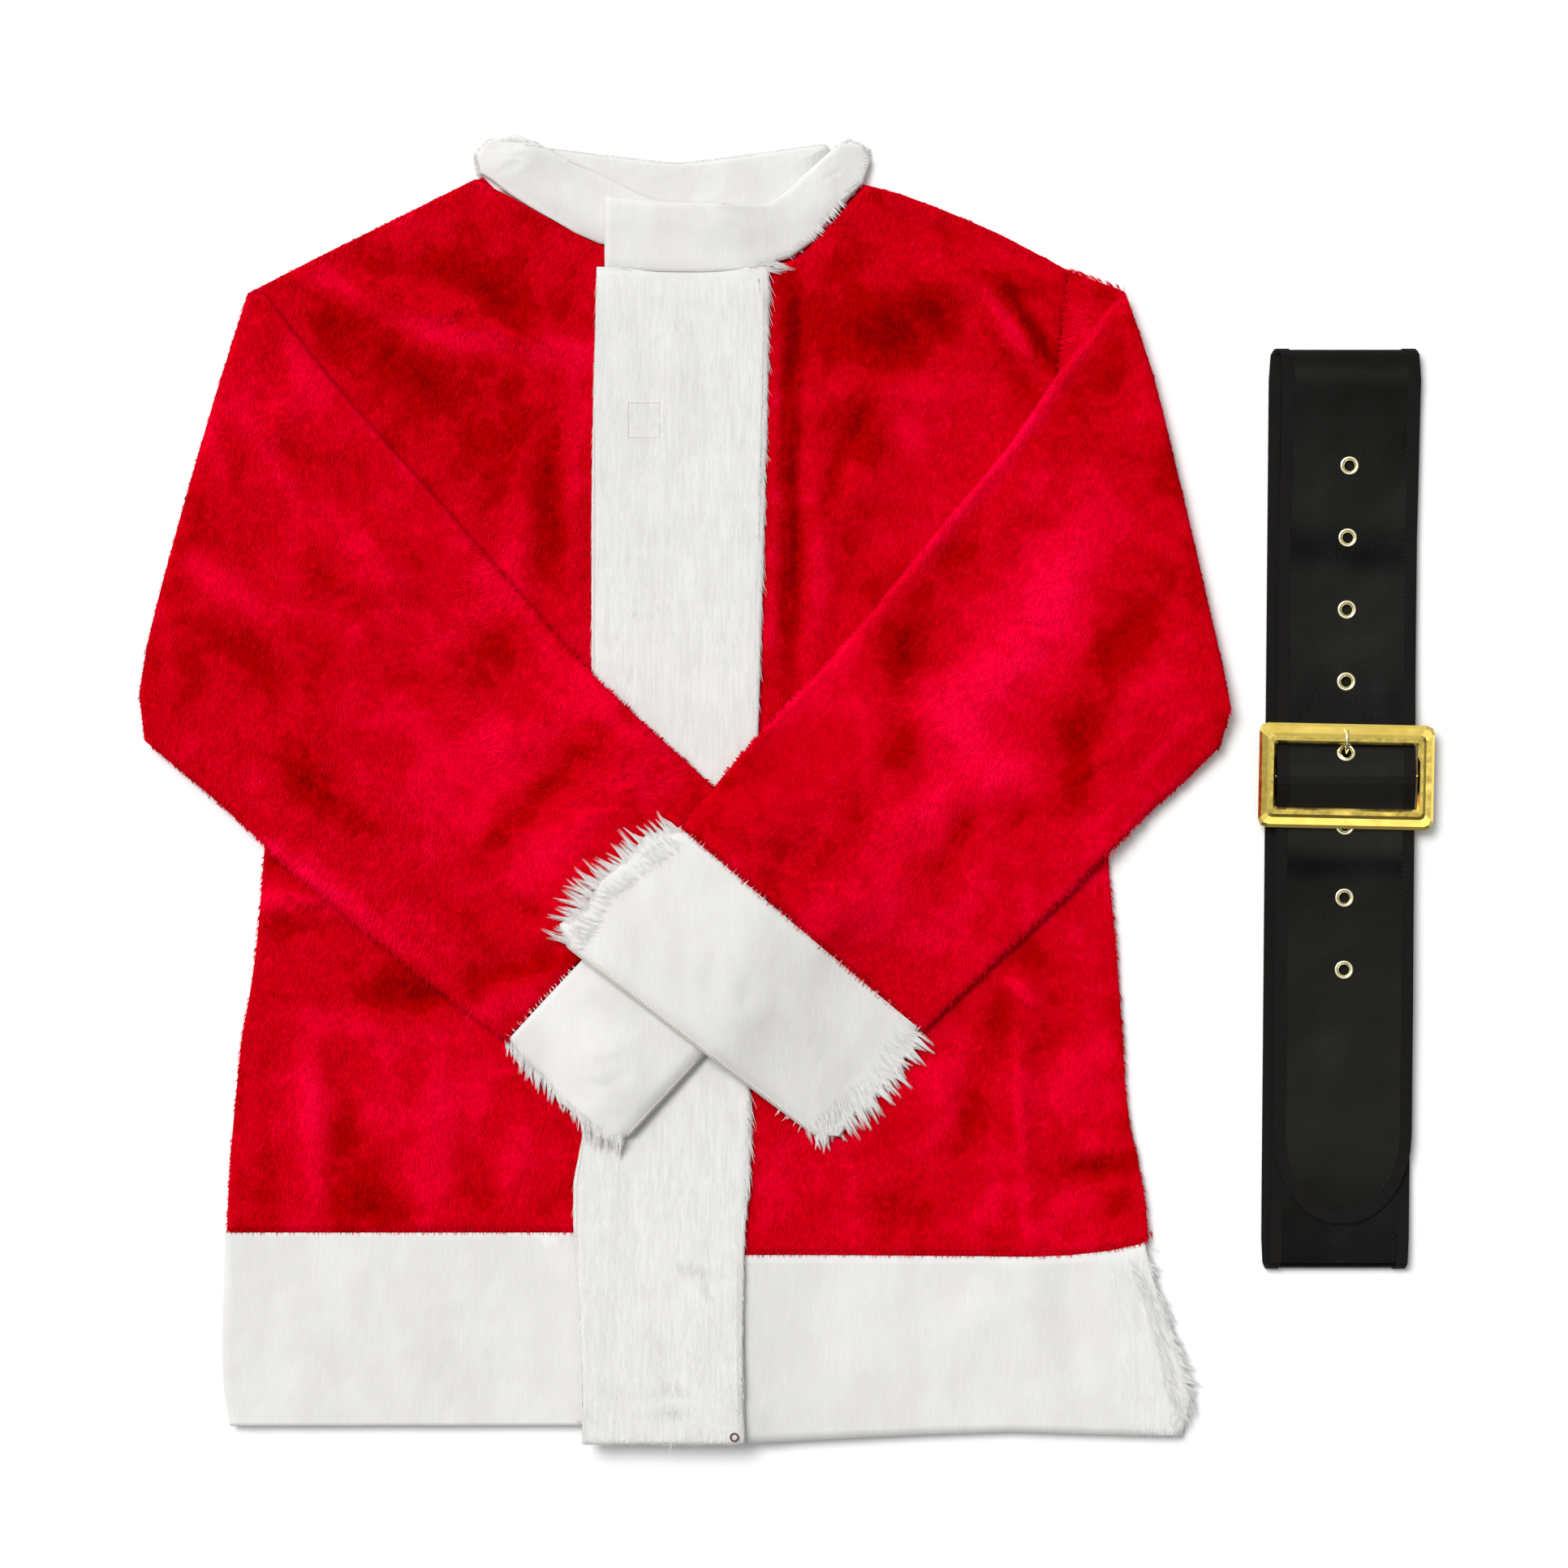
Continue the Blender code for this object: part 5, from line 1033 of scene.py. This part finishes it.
def dress(name, points, triangles, everything):
    """One cloth piece: its shell, pile and tufts."""
    pile = FUR if name.startswith(WHITE) else RED
    cloth = make_mesh(f"{name}_cloth", points, triangles, pile.cloth)
    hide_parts(name)
    root, normal = scatter(points, triangles, pile.density, everything)
    *comb, share = comb_at(root, COMB.get(name, NO_STRANDS))
    shown = RNG.random(len(root)) < share
    with_it = []
    if shown.any():
        comb = [values[shown] for values in comb]
        own = tree_of(points, triangles)
        with_it.append(blades(f"{name}_pile", root[shown], normal[shown], comb, own, pile))
    if name in TUFTS:
        with_it.append(tufts(f"{name}_tufts", TUFTS[name], everything, pile))
    # the red's nap, with painted highlights on ridges and painted shade in troughs, as a colour per point
    if pile is RED:
        for piece in [cloth, *with_it]:
            paint(piece, "nap_and_painted_shading", nap_and_painted_shading_at(table_points(piece.data), NAP_AND_PAINTED_SHADING.get(name, [])))
    flat, area, held, rests = CUTS[name]
    rests = [r if r == "table" else f"{r}_cloth" for r in rests]


def jacket():
    """All the jacket's pieces, and the machine edges on them."""
    solids = {name: node_arrays(name) for name in CUTS}
    solid_tree = tree_of_all(list(solids.values()))
    shells = {name: shell(name, *solids[name], solid_tree) for name in CUTS}
    everything = tree_of_all(list(shells.values()))
    for name in CUTS:
        dress(name, *shells[name], everything)
    machine_edges({name: tree_of(*shells[name]) for name in {row[0] for row in EDGES}})


# ---------------------------------------------------------------- the belt
def belt_stitches():
    """Black lockstitch along the inner edge of the binding, round the tip and at the foot."""
    own = tree_of(*node_arrays("belt_strap"))
    half = STRAP_HALF - STITCH_INSET
    reach = TIP_REACH - STITCH_INSET
    tip = [(TIP_X + half * math.cos(a), TIP_START + reach * math.sin(a))
           for a in np.linspace(math.pi, 2 * math.pi, 25)]
    up_left = [(x - half, y) for x, y in STRAP_MIDDLE]
    down_right = [(x + half, y) for x, y in reversed(STRAP_MIDDLE)]
    feet = [[(FOOT_X + side * half, y) for y in FOOT_STITCHES] for side in (-1, 1)]
    for number, line in enumerate([up_left + tip + down_right, *feet]):
        places, ahead = resample(line, LOCKSTITCH.pitch)
        heights = [top_at(own, x, y, otherwise=10.0) + LOCKSTITCH.lift for x, y in places]
        stitches(f"belt_stitches_{number}", places, ahead, heights, LOCKSTITCH_LENGTH, LOCKSTITCH,
                 BLACK)


def eyelet(number):
    """A rolled ring with its barrel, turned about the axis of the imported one."""
    name = f"belt_eyelet_{number}"
    points, _ = node_arrays(name)
    centre = (points.min(axis=0) + points.max(axis=0)) / 2
    axes = np.linalg.svd(points - points.mean(axis=0))[2]
    axis = axes[2] * np.sign(axes[2][2])
    top = ((points - centre) @ axis).max()
    ring = []
    for radius, height in EYELET_PROFILE:
        for angle in np.arange(EYELET_STEPS) * 2 * math.pi / EYELET_STEPS:
            spoke = math.cos(angle) * axes[0] + math.sin(angle) * axes[1]
            ring.append(centre + spoke * radius + axis * (top + height))
    triangles = []
    for row in range(len(EYELET_PROFILE) - 1):
        for k in range(EYELET_STEPS):
            a = row * EYELET_STEPS + k
            b = row * EYELET_STEPS + (k + 1) % EYELET_STEPS
            triangles += [(a, a + EYELET_STEPS, b), (b, a + EYELET_STEPS, b + EYELET_STEPS)]
    piece = make_mesh(f"eyelet_{number}", np.array(ring), np.array(triangles), PALE_BRASS)
    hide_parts(name)


def prong():
    """The prong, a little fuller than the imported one."""
    points, triangles = node_arrays("buckle_prong")
    fuller = points + PRONG_GROWTH * point_normals(points, triangles)
    piece = make_mesh("prong", fuller, triangles, PALE_BRASS)
    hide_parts("buckle_prong")


def belt():
    """Finishes for the belt's own nodes and the closure eye, its stitching, eyelets and prong."""
    belt_stitches()
    prong()
    for number in range(1, 9):
        eyelet(number)
    finishes = {"belt_strap": STRAP, "belt_binding": TAPE, "buckle_frame": BRASS, "closure_eye": WIRE}
    for name, finish in finishes.items():
        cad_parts[name].data.materials[0] = finish


# ---------------------------------------------------------------- table, light and camera
def table():
    """A pale table top, just under the part."""
    bpy.ops.mesh.primitive_plane_add(size=TABLE_SIZE, location=(0, 0, TABLE_TOP))
    floor = bpy.context.object
    floor.name = "table"
    floor.data.materials.append(pale_table())


def sky():
    """Soft light, brightest from the upper left, paler at the horizon and in bands overhead."""
    world = bpy.data.worlds.new("studio")
    bpy.context.scene.world = world
    world.use_nodes = True
    background = world.node_tree.nodes["Background"]
    direction = node(world, "ShaderNodeTexCoord").outputs["Generated"]
    toward = node(world, "ShaderNodeVectorMath")
    toward.operation = "DOT_PRODUCT"
    toward.inputs[1].default_value = BRIGHT_SIDE
    join(world, direction, toward.inputs[0])
    parts = node(world, "ShaderNodeSeparateXYZ")
    join(world, direction, parts.inputs["Vector"])
    bright = grey_ramp(world, toward.outputs["Value"], SKY_LEVELS)
    overhead = grey_ramp(world, calculate(world, "ABSOLUTE", parts.outputs["Y"]), OVERHEAD_LEVELS)
    near_top = remap(world, parts.outputs["Z"], 0.90, 0.96, 0.0, 1.0)
    level = remap(world, parts.outputs["Z"], 0.12, 0.3, HORIZON_LEVEL, 1.0)
    bands = blend(world, near_top, level, overhead)
    join(world, blend(world, 1.0, bright, bands, "MULTIPLY"), background.inputs["Color"])
    set_inputs(background, Strength=SKY_STRENGTH)


def sun():
    """A broad lamp from the upper left."""
    lamp = bpy.data.lights.new("key", "SUN")
    lamp.angle = math.radians(SUN_DEGREES)
    lamp.energy = SUN_STRENGTH
    light = bpy.data.objects.new("key", lamp)
    light.rotation_euler = (-SUN_PLACE).to_track_quat("-Z", "Y").to_euler()
    bpy.context.scene.collection.objects.link(light)


def photo_camera():
    """The photo's camera, straight above its centre."""
    lens = bpy.data.cameras.new("camera")
    lens.sensor_width = SENSOR
    lens.lens = SENSOR * (CAMERA_HEIGHT - SCALE_HEIGHT) / PHOTO_WIDTH
    lens.clip_end = 50
    camera = bpy.data.objects.new("camera", lens)
    x, y = (np.array(PHOTO_CENTRE) - ORIGIN[:2]) / 1000
    camera.location = (x, y, CAMERA_HEIGHT)
    bpy.context.scene.collection.objects.link(camera)
    bpy.context.scene.camera = camera
    bpy.context.scene.view_settings.view_transform = "Standard"


jacket()
belt()
table()
sky()
sun()
photo_camera()
